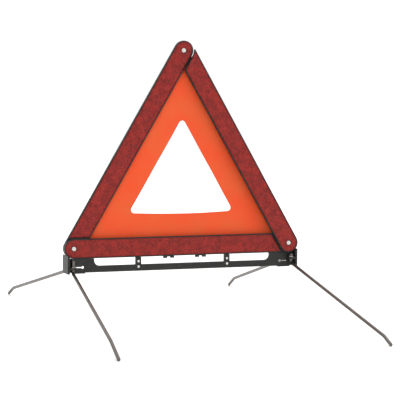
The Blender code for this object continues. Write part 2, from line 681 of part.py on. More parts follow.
def make_rail():
    """The base rail: a front wall with posts and raised ends, a bar with a flange, ribs and bosses."""
    half = rail_half_outline()
    outline = half + [(-x, z) for x, z in reversed(half)]
    back = RAIL_FRONT + RAIL_WALL
    base = Matrix.Translation((0, 0, PIVOT_HEIGHT))
    mesh = plate([outline, keyhole(-1), keyhole(1)], RAIL_FRONT, back)
    rail = add_part("base_rail", mesh, BLACK_PLASTIC, base)
    join(rail, rail_bar(back), "bar")
    for side in (-1, 1):
        for drop in POST_RIVET_DROPS:
            bore = rod(POST_RIVET_SHANK_RADIUS + BORE_GAP, -0.02, 0.02)
            cut(rail, bore, f"post_bore_{side}_{drop}", facing_front(side * POST_X, 0, -drop))
        for x in BRACKET_SCREW_XS:
            bore = rod(BRACKET_SCREW_RADIUS + BORE_GAP, -back - 0.001, -RAIL_FRONT - BRACKET_SCREW_SKIN)
            cut(rail, bore, f"screw_bore_{side}_{x}", facing_front(side * x, 0, -BRACKET_SCREW_DROP))
        for x in RIB_XS:
            low = (side * x - RIB_THICKNESS / 2, back - 0.0006, -RAIL_BOTTOM_DROP + 0.0006)
            high = (side * x + RIB_THICKNESS / 2, RAIL_FLANGE_REAR - 0.0008, -RIB_TOP_DROP)
            join(rail, box(low, high), f"rib_{side}_{x}")
        boss_end = panel_front() + PANEL_TAB_DROP * math.sin(LEAN) - PANEL_GAP
        place = facing_front(side * PANEL_TAB_X, 0, -PANEL_TAB_DROP)
        join(rail, rod(PANEL_BOSS_RADIUS, -boss_end, -back + 0.001), f"boss_{side}", place)
        hole_depth = PANEL_SCREW_DEPTH + 2 * SEAT_GAP
        bore = rod(PANEL_SCREW_RADIUS + BORE_GAP, -boss_end - 0.001, -boss_end + hole_depth)
        cut(rail, bore, f"boss_bore_{side}", place)
        ends = (side * (RAISED_END_START + 0.0005), side * (TONGUE_END_X - SEAT_GAP))
        low = (min(ends), back - 0.0006, RAIL_TOP - END_LIP_HEIGHT)
        join(rail, box(low, (max(ends), -SEAT_GAP, RAIL_TOP - 0.00005)), f"end_lip_{side}")


def rail_bar(back):
    """The bar between the raised ends: a wall with a rounded lower front and a rear flange."""
    front = RAIL_FRONT - RAIL_BAR_PROUD
    bottom = -RAIL_BOTTOM_DROP
    rounding = RAIL_BAR_ROUNDING
    wall_back = back + 0.0002
    profile = [
        (front, -RAIL_TOP_DROP),
        *arc((front + rounding, bottom + rounding), rounding, 180, 270, 6),
        (RAIL_FLANGE_REAR, bottom),
        (RAIL_FLANGE_REAR, bottom + RAIL_FLANGE_THICKNESS),
        (wall_back, bottom + RAIL_FLANGE_THICKNESS),
        (wall_back, -RAIL_TOP_DROP),
    ]
    return bar_along_x(profile, -RAIL_BAR_HALF_LENGTH, RAIL_BAR_HALF_LENGTH)


def make_post_rivets():
    """The four small rivets that hold the bottom arm's lugs behind the posts."""
    radius, shank, height = POST_RIVET_HEAD_RADIUS, POST_RIVET_SHANK_RADIUS, POST_RIVET_HEAD_HEIGHT
    for side, side_name in ((-1, "left"), (1, "right")):
        for drop, level, proud in zip(POST_RIVET_DROPS, ("upper", "lower"), (0, RAIL_BAR_PROUD)):
            seat = -RAIL_FRONT + proud + SEAT_GAP
            profile = [
                (0, seat + height),
                (radius * 0.6, seat + height * 0.85),
                (radius, seat + height * 0.3),
                (radius, seat),
                (shank, seat),
                (shank, 0),
                (radius, 0),
                (radius * 0.8, -height),
                (0, -height),
            ]
            frame = facing_front(side * POST_X, 0, PIVOT_HEIGHT - drop)
            turned(f"{side_name}_post_{level}_rivet", profile, RIVET_STEEL, frame)


def make_panel_screws():
    """The screw and washer that hold each lower tab of the panel to its boss."""
    rear = panel_front() + PANEL_THICKNESS + PANEL_TAB_DROP * math.sin(LEAN) + PANEL_GAP
    radius, shank, height = PANEL_SCREW_HEAD_RADIUS, PANEL_SCREW_RADIUS, PANEL_SCREW_HEAD_HEIGHT
    head = rear + PANEL_WASHER_THICKNESS + SEAT_GAP
    boss_end = panel_front() + PANEL_TAB_DROP * math.sin(LEAN) - PANEL_GAP
    for side, name in ((-1, "left"), (1, "right")):
        x, z = side * PANEL_TAB_X, PIVOT_HEIGHT - PANEL_TAB_DROP
        frame = facing_front(x, 0, z)
        bore = shank + BORE_GAP
        bottom = -rear - PANEL_WASHER_THICKNESS
        washer(f"{name}_panel_washer", PANEL_WASHER_RADIUS, bore, bottom, PANEL_WASHER_THICKNESS, RIVET_STEEL, frame)
        profile = [
            (0, -boss_end + PANEL_SCREW_DEPTH),
            (shank * 0.6, -boss_end + PANEL_SCREW_DEPTH),
            (shank, -boss_end + PANEL_SCREW_DEPTH - 0.001),
            (shank, -head),
            (radius, -head),
            (radius * 0.75, -head - height),
            (0, -head - height),
        ]
        turned(f"{name}_panel_screw", profile, RIVET_STEEL, frame)


def make_clips():
    """The two moulded clips under the bottom arm, whose pegs stand in bores in its edge."""
    top = -ARM_HALF_WIDTH - SEAT_GAP
    foot, strip = top - CLIP_HEIGHT, top - CLIP_STRIP
    half, gap = CLIP_HALF_WIDTH, CLIP_HALF_GAP
    left = [(-half, top), (-half, foot), (-gap, foot), (-gap, strip)]
    outline = left + [(-x, z) for x, z in reversed(left)]
    for name, x in CLIP_XS.items():
        base = Matrix.Translation((x, 0, PIVOT_HEIGHT))
        clip = add_part(f"{name}_loop_clip", plate([outline], CLIP_FRONT, CLIP_REAR), BLACK_PLASTIC, base)
        for side in (-1, 1):
            peg = rod(CLIP_PEG_RADIUS, strip, clip_peg_top())
            join(clip, peg, f"{name}_peg_{side}", Matrix.Translation((side * CLIP_PEG_X, clip_middle(), 0)))


# ---------------------------------------------------------------------------- legs and brackets


class Leg:
    """The geometry of one wire leg, worked out from its root, its foot and its stowed direction.

    The pivot axis is square to the leg both as it stands and as it lies along the rail.
    """

    def __init__(self, name):
        self.name = name
        self.side = -1 if name.endswith("left") else 1
        self.depth_side = -1 if name.startswith("front") else 1
        height = PIVOT_HEIGHT - LEG_ROOT_DROPS[name]
        self.root = Vector((self.side * LEG_ROOT_X, self.depth_side * LEG_ROOT_Y, height))
        self.shin_length, slope = SHINS[name][0], math.radians(SHINS[name][1])
        foot = Vector((self.side * FOOT_X, self.depth_side * FOOT_Y, WIRE_RADIUS * math.cos(slope)))
        outward = (foot - self.root).xy.normalized()
        knee = foot - Vector((*(outward * self.shin_length * math.cos(slope)), 0))
        knee.z += self.shin_length * math.sin(slope)
        self.thigh_length = (knee - self.root).length
        self.direction = (knee - self.root).normalized()
        self.bend = slope - math.asin(-self.direction.z)
        stowed = Vector((-self.side, 0, 0))
        axis = self.direction.cross(stowed).normalized()
        self.axis = axis if axis.z > 0 else -axis

    def frame(self):
        """The leg's own frame at its root: X along the leg, Z along the pivot axis."""
        across = self.axis.cross(self.direction)
        columns = (self.direction, across, self.axis)
        return Matrix.Translation(self.root) @ Matrix(columns).transposed().to_4x4()

    def height_at(self, drop):
        """How far up the pivot axis, from the root, a level below the lower pivots lies."""
        return (PIVOT_HEIGHT - drop - self.root.z) / self.axis.z

    def lug_bottom(self):
        """Drop of the underside of the lug that this leg turns in."""
        return PIVOT_HEIGHT - self.root.z - ELBOW_RADIUS * self.axis.z - 0.0010

    def lug_top(self):
        return self.lug_bottom() - LUG_THICKNESS

    def retainer_drop(self):
        """Drop of the push nut's middle, which leaves a gap under the low side of the tilted nut."""
        tilt = math.acos(self.axis.z)
        low_side = RETAINER_RADIUS * math.sin(tilt) + RETAINER_THICKNESS / 2 * self.axis.z
        return self.lug_top() - low_side - SEAT_GAP


def leg_points(leg):
    """The wire's route in the leg's frame: down the pivot, round the elbow, out to the tip."""
    top = (0, leg.height_at(PIVOT_TOP_DROP))
    elbow = arc((ELBOW_RADIUS, ELBOW_RADIUS), ELBOW_RADIUS, 180, 270, 6)
    reach = KNEE_RADIUS * math.tan(leg.bend / 2)
    knee_start = leg.thigh_length - reach
    knee = arc((knee_start, -KNEE_RADIUS), KNEE_RADIUS, 90, 90 - math.degrees(leg.bend), 4)
    shin = (leg.shin_length - reach) * math.cos(leg.bend), -(leg.shin_length - reach) * math.sin(leg.bend)
    tip = (knee[-1][0] + shin[0], knee[-1][1] + shin[1])
    return [(x, 0, z) for x, z in [top, *elbow, *knee, tip]]


def make_leg(leg):
    """One wire leg and the push nut that keeps its pivot in the bracket."""
    add_part(f"{leg.name}_leg", wire(leg_points(leg), WIRE_RADIUS), STEEL_WIRE, leg.frame())
    middle = leg.height_at(leg.retainer_drop())
    bottom = middle - RETAINER_THICKNESS / 2
    bore = WIRE_RADIUS + BORE_GAP
    name = f"{leg.name}_leg_retainer"
    washer(name, RETAINER_RADIUS, bore, bottom, RETAINER_THICKNESS, STEEL_WIRE, leg.frame())


def tongue_outline(side):
    """The bracket's flat tongue behind the rail's raised end, clear of the keyhole.

    It also fills the corner beside the bottom arm's round end, which is trimmed to that arm later.
    """
    outline = [
        (BRACKET_OUTSIDE_X - BRACKET_WALL / 2, -BRACKET_TOP_DROP - 0.001),
        (HALF_SPACING + 0.001, -BRACKET_TOP_DROP - 0.001),
        (HALF_SPACING + 0.001, -TONGUE_TOP_DROP),
        (TONGUE_END_X, -TONGUE_TOP_DROP),
        (TONGUE_END_X, -TONGUE_LOW_DROP),
        (TONGUE_START_X, -TONGUE_LOW_DROP),
        (TONGUE_START_X, -BRACKET_BOTTOM_DROP + 0.001),
        (BRACKET_OUTSIDE_X - BRACKET_WALL / 2, -BRACKET_BOTTOM_DROP + 0.001),
    ]
    return [(side * x, z) for x, z in outline]


def make_bracket(name, side, legs):
    """An end bracket: an outer wall, a lug for each of its two legs, and a tongue to the rail."""
    inside = BRACKET_OUTSIDE_X - BRACKET_WALL
    base = Matrix.Translation((0, 0, PIVOT_HEIGHT))
    depth = BRACKET_HALF_DEPTH
    low, high = -BRACKET_BOTTOM_DROP, -BRACKET_TOP_DROP
    wall = [(side * x, z) for x, z in ((inside, low), (BRACKET_OUTSIDE_X, low), (BRACKET_OUTSIDE_X, high))]
    wall.append((side * inside, high))
    bracket = add_part(f"{name}_bracket", plate([wall], -depth, depth), BLACK_PLASTIC, base)
    for leg in legs:
        inner = leg.depth_side * LUG_INNER_Y
        outer = leg.depth_side * (LEG_ROOT_Y + WIRE_RADIUS + LUG_REACH)
        corner_low = (side * LUG_INSIDE_X, min(inner, outer), -leg.lug_bottom())
        corner_high = (side * (inside + BRACKET_WALL / 2), max(inner, outer), -leg.lug_top())
        lug_low = [min(a, b) for a, b in zip(corner_low, corner_high)]
        lug_high = [max(a, b) for a, b in zip(corner_low, corner_high)]
        join(bracket, box(lug_low, lug_high), f"{leg.name}_lug")
    tongue = plate([tongue_outline(side)], TONGUE_FRONT, TONGUE_FRONT + TONGUE_THICKNESS)
    join(bracket, tongue, f"{name}_tongue")
    pivot_clearance = rod(ARM_HALF_WIDTH + BRACKET_ARM_CLEARANCE, -0.03, 0.03)
    cut(bracket, pivot_clearance, f"{name}_arc", facing_front(side * HALF_SPACING, 0, 0))
    for leg in legs:
        bore = rod(WIRE_RADIUS + BORE_GAP, leg.height_at(leg.lug_bottom() + 0.004), leg.height_at(-0.02))
        cut(bracket, bore, f"{leg.name}_bore", base.inverted() @ leg.frame())
    for i, x in enumerate(BRACKET_SCREW_XS):
        place = facing_front(side * x, 0, -BRACKET_SCREW_DROP)
        cut(bracket, rod(BRACKET_SCREW_RADIUS + BORE_GAP, -0.01, 0.01), f"{name}_screw_bore_{i + 1}", place)
        well_floor = -(TONGUE_FRONT + TONGUE_THICKNESS) + BRACKET_SCREW_HEAD_HEIGHT + 2 * SEAT_GAP
        well = rod(BRACKET_SCREW_HEAD_RADIUS + BORE_GAP, -0.01, well_floor)
        cut(bracket, well, f"{name}_screw_well_{i + 1}", place)
        make_bracket_screw(f"{name}_bracket_screw_{i + 1}", side * x, well_floor - SEAT_GAP)


def make_bracket_screw(name, x, seat):
    """A screw from the rear through the tongue into the rail, with its head sunk in the tongue."""
    radius, shank = BRACKET_SCREW_HEAD_RADIUS, BRACKET_SCREW_RADIUS
    top = -RAIL_FRONT - BRACKET_SCREW_SKIN - SEAT_GAP
    profile = [
        (0, top),
        (shank * 0.6, top),
        (shank, top - 0.0008),
        (shank, seat),
        (radius, seat),
        (radius * 0.8, seat - BRACKET_SCREW_HEAD_HEIGHT),
        (0, seat - BRACKET_SCREW_HEAD_HEIGHT),
    ]
    turned(name, profile, RIVET_STEEL, facing_front(x, 0, PIVOT_HEIGHT - BRACKET_SCREW_DROP))


def make_base_ends():
    """Both end brackets with their two legs each."""
    for side, side_name in ((-1, "left"), (1, "right")):
        legs = [Leg(f"{depth}_{side_name}") for depth in ("front", "rear")]
        make_bracket(side_name, side, legs)
        for leg in legs:
            make_leg(leg)


clear_scene()
PARTS = new_collection("warning_triangle")
CUTTERS = new_collection("cutters")
BLACK_PLASTIC = make_material("black_plastic", (0.035, 0.035, 0.033), 0.45)
RED_LENS = make_material("red_lens", (0.42, 0.02, 0.015), 0.15)
ORANGE_FABRIC = make_material("orange_fabric", (0.85, 0.12, 0.035), 0.8)
RIVET_STEEL = make_material("rivet_steel", (0.70, 0.69, 0.66), 0.3, 1.0)
STEEL_WIRE = make_material("steel_wire", (0.38, 0.37, 0.36), 0.35, 1.0)
NYLON = make_material("nylon", (0.75, 0.74, 0.70), 0.5)

LEANING = bpy.data.objects.new("left_arm_axis", None)
PARTS.objects.link(LEANING)
LEANING.matrix_local = Matrix.Translation((-HALF_SPACING, 0, PIVOT_HEIGHT)) @ Matrix.Rotation(LEAN, 4, "X")

make_bottom_arm()
make_right_arm()
make_left_arm(LEANING)
make_left_pivot()
make_panel(LEANING)
make_rail()
make_post_rivets()
make_panel_screws()
make_clips()
make_base_ends()
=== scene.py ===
"""Looks of a folding roadside warning triangle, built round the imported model.

Three red reflector arms stand round an orange fabric panel with an open centre, on a black
moulded base with four swing-out wire legs. The triangle faces -Y and stands on Z = 0. Metres.

Every visible sub-assembly is a class. Its sizes are fields, its meshes are surfaces worked out as
whole numpy arrays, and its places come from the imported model's joints and boxes.
"""

import json
import logging
import math
from collections.abc import Callable
from dataclasses import dataclass, field
from enum import Enum

import bmesh
import bpy
import numpy as np
from bpy.types import Material, Mesh, Node, NodeSocket, NodeTree, Object
from mathutils import Matrix, Vector


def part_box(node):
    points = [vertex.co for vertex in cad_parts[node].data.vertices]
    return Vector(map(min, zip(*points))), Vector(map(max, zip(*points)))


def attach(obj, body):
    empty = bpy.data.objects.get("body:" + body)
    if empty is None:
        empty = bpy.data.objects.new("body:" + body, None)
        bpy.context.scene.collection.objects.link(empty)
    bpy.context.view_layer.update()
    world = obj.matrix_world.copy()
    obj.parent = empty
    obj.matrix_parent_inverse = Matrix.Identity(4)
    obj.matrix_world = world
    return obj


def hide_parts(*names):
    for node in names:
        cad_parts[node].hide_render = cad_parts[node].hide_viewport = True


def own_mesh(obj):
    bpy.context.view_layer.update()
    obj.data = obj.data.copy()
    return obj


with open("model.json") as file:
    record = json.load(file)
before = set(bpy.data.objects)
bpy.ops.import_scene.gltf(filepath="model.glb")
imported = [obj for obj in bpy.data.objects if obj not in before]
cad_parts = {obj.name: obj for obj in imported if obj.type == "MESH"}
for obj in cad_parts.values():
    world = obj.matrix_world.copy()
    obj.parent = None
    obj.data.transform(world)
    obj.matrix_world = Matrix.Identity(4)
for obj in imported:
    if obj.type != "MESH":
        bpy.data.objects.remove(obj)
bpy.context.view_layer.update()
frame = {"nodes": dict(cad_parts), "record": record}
LOG = logging.getLogger("warning_triangle")
MM = 0.001
WELD = 1e-7
SMOOTH_ANGLE = math.radians(32)


# ------------------------------------------------------------------------------------- surfaces


def smoothstep(low: float, high: float, x: np.ndarray) -> np.ndarray:
    """Rises smoothly from 0 at low to 1 at high, as 3t^2 - 2t^3 of the clipped share t."""
    t = np.clip((x - low) / (high - low), 0, 1)
    return t * t * (3 - 2 * t)


def unit(v: np.ndarray) -> np.ndarray:
    """Vectors scaled to length one along the last axis."""
    return v / np.linalg.norm(v, axis=-1, keepdims=True)


@dataclass
class Surface:
    """Vertices, and groups of faces that have the same number of corners, with a UV each corner.

    Attributes:
        vertices: an (n, 3) array of points.
        faces: one (count, corners) array of vertex numbers for each group.
        uvs: one (count, corners, 2) array for each group.
    """

    vertices: np.ndarray
    faces: list[np.ndarray] = field(default_factory=list)
    uvs: list[np.ndarray] = field(default_factory=list)

    @classmethod
    def from_grid(
        cls, points: np.ndarray, uv: np.ndarray, close_rows: bool = False, close_columns: bool = False
    ) -> "Surface":
        """Joins a grid of points with four-sided faces.

        Args:
            points: (rows, columns, 3) points; going along a column and then along a row turns
                left as seen from outside.
            uv: (rows, columns, 2), with one more row or column where the grid closes on itself.
            close_rows: whether the last row joins the first.
            close_columns: whether the last column joins the first.

        Returns:
            The surface.
        """
        rows, columns = points.shape[:2]
        index = np.arange(rows * columns).reshape(rows, columns)
        if close_columns:
            index = np.concatenate([index, index[:, :1]], 1)
        if close_rows:
            index = np.concatenate([index, index[:1]], 0)

        def corners(grid: np.ndarray) -> np.ndarray:
            """The four corners of every cell, one after the other round the cell."""
            return np.stack([grid[:-1, :-1], grid[1:, :-1], grid[1:, 1:], grid[:-1, 1:]], 2)

        faces = corners(index).reshape(-1, 4)
        return cls(points.reshape(-1, 3), [faces], [corners(uv).reshape(-1, 4, 2)])

    def joined(self, *others: "Surface") -> "Surface":
        """One surface with the faces of all of them.

        Args:
            *others: the surfaces to add.

        Returns:
            The whole, whose shells stay apart.
        """
        whole = Surface(self.vertices, list(self.faces), list(self.uvs))
        for other in others:
            shift = len(whole.vertices)
            whole.vertices = np.concatenate([whole.vertices, other.vertices])
            whole.faces += [group + shift for group in other.faces]
            whole.uvs += other.uvs
        return whole

    def mapped(self, place: Callable[[np.ndarray], np.ndarray]) -> "Surface":
        """The same faces with every vertex sent through a function of an (n, 3) array."""
        return Surface(place(self.vertices), self.faces, self.uvs)

    def turned_inside_out(self) -> "Surface":
        """The same surface with every face looking the other way."""
        return Surface(self.vertices, [f[:, ::-1] for f in self.faces], [u[:, ::-1] for u in self.uvs])

    def to_object(self, name: str, flat: bool = False) -> Object:
        """Puts the surface into a new object at the origin.

        Args:
            name: the object's name.
            flat: whether faces are shaded flat, as on cut prisms.

        Returns:
            The object, with its doubled vertices welded.
        """
        mesh = bpy.data.meshes.new(name)
        faces = [face for group in self.faces for face in group.tolist()]
        mesh.from_pydata(self.vertices, [], faces)
        layer = mesh.uv_layers.new(name="cut")
        uv = np.concatenate([group.reshape(-1, 2) for group in self.uvs])
        layer.data.foreach_set("uv", uv.astype(np.float32).ravel())
        weld(mesh)
        mesh.polygons.foreach_set("use_smooth", np.full(len(mesh.polygons), not flat))
        if not flat:
            mesh.set_sharp_from_angle(angle=SMOOTH_ANGLE)
        obj = bpy.data.objects.new(name, mesh)
        bpy.context.scene.collection.objects.link(obj)
        return obj


def weld(mesh: Mesh) -> None:
    """Merges vertices that share a place, which closes seams and poles.

    Args:
        mesh: the mesh, changed in place.
    """
    shape = bmesh.new()
    shape.from_mesh(mesh)
    bmesh.ops.remove_doubles(shape, verts=shape.verts, dist=WELD)
    bmesh.ops.dissolve_degenerate(shape, edges=shape.edges, dist=WELD)
    shape.to_mesh(mesh)
    shape.free()
    mesh.update()


def revolve(profile: np.ndarray, steps: int = 48) -> Surface:
    """Turns a profile about local Z.

    Point (i, j) is (r_i cos a_j, r_i sin a_j, z_i), with a_j going once round.

    Args:
        profile: (n, 2) radii and heights, from the top down the outside.
        steps: how many columns go round.

    Returns:
        The closed surface, whose first and last radii are 0.
    """
    turn = np.linspace(0, 2 * np.pi, steps, endpoint=False)
    radius, height = profile[:, 0][:, None], profile[:, 1][:, None]
    points = np.stack([radius * np.cos(turn), radius * np.sin(turn), height + 0 * turn], -1)
    along = np.concatenate([[0], np.cumsum(np.linalg.norm(np.diff(profile, axis=0), axis=1))])
    u, v = np.meshgrid(along, np.linspace(0, 1, steps + 1), indexing="ij")
    return Surface.from_grid(points, np.stack([u, v], -1), close_columns=True)


def rounded(points: list[tuple[float, float]], radius: float, steps: int = 4) -> np.ndarray:
    """A profile whose inner corners are rounded.

    Each corner is replaced by a quadratic curve from a point a radius before it to one a radius
    after it: (1-t)^2 a + 2t(1-t) corner + t^2 b.

    Args:
        points: the corners, in order, with both ends kept.
        radius: the rounding's reach, cut to under half of a short side.
        steps: points on each rounding.

    Returns:
        An (n, 2) array.
    """
    corner = np.array(points, float)
    before, here, after = corner[:-2], corner[1:-1], corner[2:]
    back, ahead = before - here, after - here
    back_length = np.linalg.norm(back, axis=1, keepdims=True)
    ahead_length = np.linalg.norm(ahead, axis=1, keepdims=True)
    start = here + back / back_length * np.minimum(radius, 0.45 * back_length)
    end = here + ahead / ahead_length * np.minimum(radius, 0.45 * ahead_length)
    t = np.linspace(0, 1, steps)[None, :, None]
    curve = (1 - t) ** 2 * start[:, None] + 2 * t * (1 - t) * here[:, None] + t**2 * end[:, None]
    return np.concatenate([corner[:1], curve.reshape(-1, 2), corner[-1:]])


def swept_wire(path: np.ndarray, across: np.ndarray, radius: float, steps: int = 20) -> Surface:
    """A round wire with rounded ends along a flat path.

    A ring's point is p + r(s) (cos a n + sin a b), where b is square to the path's plane, n to the
    path in that plane, and r(s) falls at both ends as a quarter of an ellipse.

    Args:
        path: (n, 3) points, close together.
        across: the unit vector square to the path's plane.
        radius: of the wire.
        steps: columns round the wire.

    Returns:
        The closed tube, with U along it and V round it, in metres.
    """
    length = np.concatenate([[0], np.cumsum(np.linalg.norm(np.diff(path, axis=0), axis=1))])
    end = radius * 0.55
    shares = np.array([0, 0.03, 0.12, 0.3, 0.6, 1.0])
    inner = length[(length > end * 1.2) & (length < length[-1] - end * 1.2)]
    at = np.concatenate([shares * end, inner, length[-1] - shares[::-1] * end])
    points = np.stack([np.interp(at, length, path[:, k]) for k in range(3)], 1)
    gap = np.minimum(at, length[-1] - at)
    girth = radius * np.sqrt(np.clip(1 - (1 - np.clip(gap / end, 0, 1)) ** 2, 0, 1))
    tangent = unit(np.gradient(points, at, axis=0))
    normal = np.cross(across[None, :], tangent)
    turn = np.linspace(0, 2 * np.pi, steps, endpoint=False)[None, :, None]
    ring = np.cos(turn) * normal[:, None, :] + np.sin(turn) * across[None, None, :]
    grid = points[:, None, :] + girth[:, None, None] * ring
    u, v = np.meshgrid(at, np.linspace(0, 2 * np.pi * radius, steps + 1), indexing="ij")
    return Surface.from_grid(grid, np.stack([u, v], -1), close_columns=True).turned_inside_out()


def arc_points(
    centre: tuple[float, float], radius: float, start: float, end: float, steps: int
) -> np.ndarray:
    """(steps, 2) points on a circle, from start to end in degrees, both included."""
    turn = np.radians(np.linspace(start, end, steps))
    return np.stack([centre[0] + radius * np.cos(turn), centre[1] + radius * np.sin(turn)], -1)


# ------------------------------------------------------------------------------------ materials


def linear(colour: str) -> tuple[float, float, float, float]:
    """Turns an sRGB colour to linear light.

    Args:
        colour: the colour as #rrggbb.

    Returns:
        Linear RGBA.
    """
    parts = [int(colour[i : i + 2], 16) / 255 for i in (1, 3, 5)]
    curve = [p / 12.92 if p <= 0.04045 else ((p + 0.055) / 1.055) ** 2.4 for p in parts]
    return (curve[0], curve[1], curve[2], 1.0)


def set_inputs(tree: NodeTree, node: Node, inputs: dict) -> None:
    """Sets or links a node's inputs.

    Args:
        tree: the material's node tree.
        node: the node.
        inputs: input name or number to a value, or to the output socket that feeds it.
    """
    for name, value in inputs.items():
        if isinstance(value, NodeSocket):
            tree.links.new(value, node.inputs[name])
        else:
            node.inputs[name].default_value = value


def add_node(tree: NodeTree, kind: str, inputs: dict | None = None, **settings: object) -> Node:
    """Adds a node with its settings and its inputs.

    Args:
        tree: the material's node tree.
        kind: the node's type name, without the ShaderNode in front.
        inputs: as for set_inputs.
        **settings: the node's own properties.

    Returns:
        The node.
    """
    node = tree.nodes.new(f"ShaderNode{kind}")
    for name, value in settings.items():
        setattr(node, name, value)
    set_inputs(tree, node, inputs or {})
    return node


def per_mm(size: float) -> float:
    """The texture scale at which one feature is this many millimetres across."""
    return 1.0 / (size * MM)


@dataclass(frozen=True)
class Finish:
    """One real material, made once and shared by every piece that has it.

    Attributes:
        name: the material's name.
        slot: the record's material slot; not used.
    """

    name: str
    slot: str

    def material(self) -> Material:
        """Makes the Blender material, on first use only.

        Returns:
            The material.
        """
        made = bpy.data.materials.get(self.name)
        if made is None:
            made = bpy.data.materials.new(self.name)
            made.use_nodes = True
            tree = made.node_tree
            self.dress(tree, tree.nodes["Principled BSDF"])
        return made

    def dress(self, tree: NodeTree, shader: Node) -> None:
        """Adds the finish's nodes; each finish has its own.

        Args:
            tree: the material's node tree.
            shader: its Principled BSDF.
        """
        raise NotImplementedError


@dataclass(frozen=True)
class MouldedAbs(Finish):
    """Black ABS from a spark-eroded mould: a fine even grain, soft grey sheen and faint flow marks."""

    dark: str = "#121211"
    light: str = "#232321"
    grain: float = 0.9  # mm; the real grit is 0.1, drawn coarser so that it shows
    flow: float = 30.0  # mm
    roughness: float = 0.46

    def dress(self, tree: NodeTree, shader: Node) -> None:
        """Grain as bump and roughness, flow marks as a slow change between two greys.

        Args:
            tree: the material\'s node tree.
            shader: its Principled BSDF.
        """
        place = add_node(tree, "TexCoord").outputs["Object"]
        grain = add_node(tree, "TexNoise", {"Vector": place, "Scale": per_mm(self.grain), "Detail": 3.0})
        flow = add_node(tree, "TexNoise", {"Vector": place, "Scale": per_mm(self.flow), "Detail": 2.0})
        both = add_node(tree, "Math", {0: flow.outputs["Fac"], 1: grain.outputs["Fac"]}, operation="MULTIPLY")
        share = add_node(tree, "MapRange", {"Value": both.outputs[0], "From Min": 0.12, "From Max": 0.40})
        ends = {6: linear(self.dark), 7: linear(self.light)}
        colour = add_node(tree, "Mix", {0: share.outputs["Result"], **ends}, data_type="RGBA")
        least, most = self.roughness - 0.08, self.roughness + 0.10
        rough = add_node(tree, "MapRange", {"Value": grain.outputs["Fac"], "To Min": least, "To Max": most})
        relief = {"Height": grain.outputs["Fac"], "Strength": 0.25, "Distance": 0.15 * MM}
        sockets = {
            "Base Color": colour.outputs[2],
            "Roughness": rough.outputs["Result"],
            "Normal": add_node(tree, "Bump", relief).outputs["Normal"],
            "IOR": 1.53,
            "Specular IOR Level": 0.32,
        }
        set_inputs(tree, shader, sockets)


@dataclass(frozen=True)
class PrismAcrylic(Finish):
    """Red acrylic over moulded corner prisms: deep red with lighter cells painted in as glints, wet gloss on
    top.
    """

    deep: str = "#66110d"
    bright: str = "#901f18"
    patch: float = 14.0  # mm, how far the tone drifts along a strip
    speck: float = 2.2  # mm; painted glints: single prism cells lightened as if they catch the light

    def dress(self, tree: NodeTree, shader: Node) -> None:
        """Slow patches of tone and prism-sized painted glints between a deep and a bright red, under a clear
        coat.

        Args:
            tree: the material\'s node tree.
            shader: its Principled BSDF.
        """
        place = add_node(tree, "TexCoord").outputs["UV"]
        patch = add_node(tree, "TexNoise", {"Vector": place, "Scale": per_mm(self.patch), "Detail": 2.0})
        # painted glints: prism-sized cells pushed towards the bright red, as if they catch the light
        speck = add_node(tree, "TexVoronoi", {"Vector": place, "Scale": per_mm(self.speck)})
        tone = add_node(tree, "SeparateColor", {"Color": speck.outputs["Color"]}).outputs[0]
        mixed = add_node(tree, "Mix", {0: 0.35, 2: patch.outputs["Fac"], 3: tone})
        share = add_node(tree, "MapRange", {"Value": mixed.outputs[0], "From Min": 0.30, "From Max": 0.68})
        ends = {6: linear(self.deep), 7: linear(self.bright)}
        colour = add_node(tree, "Mix", {0: share.outputs["Result"], **ends}, data_type="RGBA")
        sockets = {
            "Base Color": colour.outputs[2],
            "Roughness": 0.34,
            "IOR": 1.49,
            "Specular IOR Level": 0.25,
            "Coat Weight": 0.06,
            "Coat Roughness": 0.06,
            "Coat IOR": 1.49,
        }
        set_inputs(tree, shader, sockets)


@dataclass(frozen=True)
class FluorescentPolyester(Finish):
    """Coated fluorescent polyester, plain weave: flat hot orange with a fine crossed thread relief."""

    hot: str = "#e04618"
    warm: str = "#d65626"
    thread: float = 1.1  # mm; the real pitch is 0.35, drawn coarser so that it shows
    drift: float = 45.0  # mm

    def dress(self, tree: NodeTree, shader: Node) -> None:
        """Warp and weft bands that take turns on top, over a slow change between two oranges.

        Args:
            tree: the material\'s node tree.
            shader: its Principled BSDF.
        """
        place = add_node(tree, "TexCoord").outputs["UV"]
        scale = 2 * math.pi / (20 * self.thread * MM)
        warp = add_node(tree, "TexWave", {"Vector": place, "Scale": scale}, bands_direction="X")
        weft = add_node(tree, "TexWave", {"Vector": place, "Scale": scale}, bands_direction="Y")
        turns = add_node(tree, "TexChecker", {"Vector": place, "Scale": per_mm(self.thread)})
        threads = {0: turns.outputs["Fac"], 2: warp.outputs["Fac"], 3: weft.outputs["Fac"]}
        weave = add_node(tree, "Mix", threads)
        drift = add_node(tree, "TexNoise", {"Vector": place, "Scale": per_mm(self.drift), "Detail": 2.0})
        tone = add_node(tree, "Mix", {0: 0.22, 2: drift.outputs["Fac"], 3: weave.outputs[0]})
        share = add_node(tree, "MapRange", {"Value": tone.outputs[0], "From Min": 0.30, "From Max": 0.70})
        ends = {6: linear(self.hot), 7: linear(self.warm)}
        colour = add_node(tree, "Mix", {0: share.outputs["Result"], **ends}, data_type="RGBA")
        relief = {"Height": weave.outputs[0], "Strength": 0.3, "Distance": 0.12 * MM}
        sockets = {
            "Base Color": colour.outputs[2],
            "Normal": add_node(tree, "Bump", relief).outputs["Normal"],
            "Roughness": 0.62,
            "IOR": 1.50,
            "Specular IOR Level": 0.30,
            "Sheen Weight": 0.03,
            "Sheen Roughness": 0.4,
        }
        set_inputs(tree, shader, sockets)


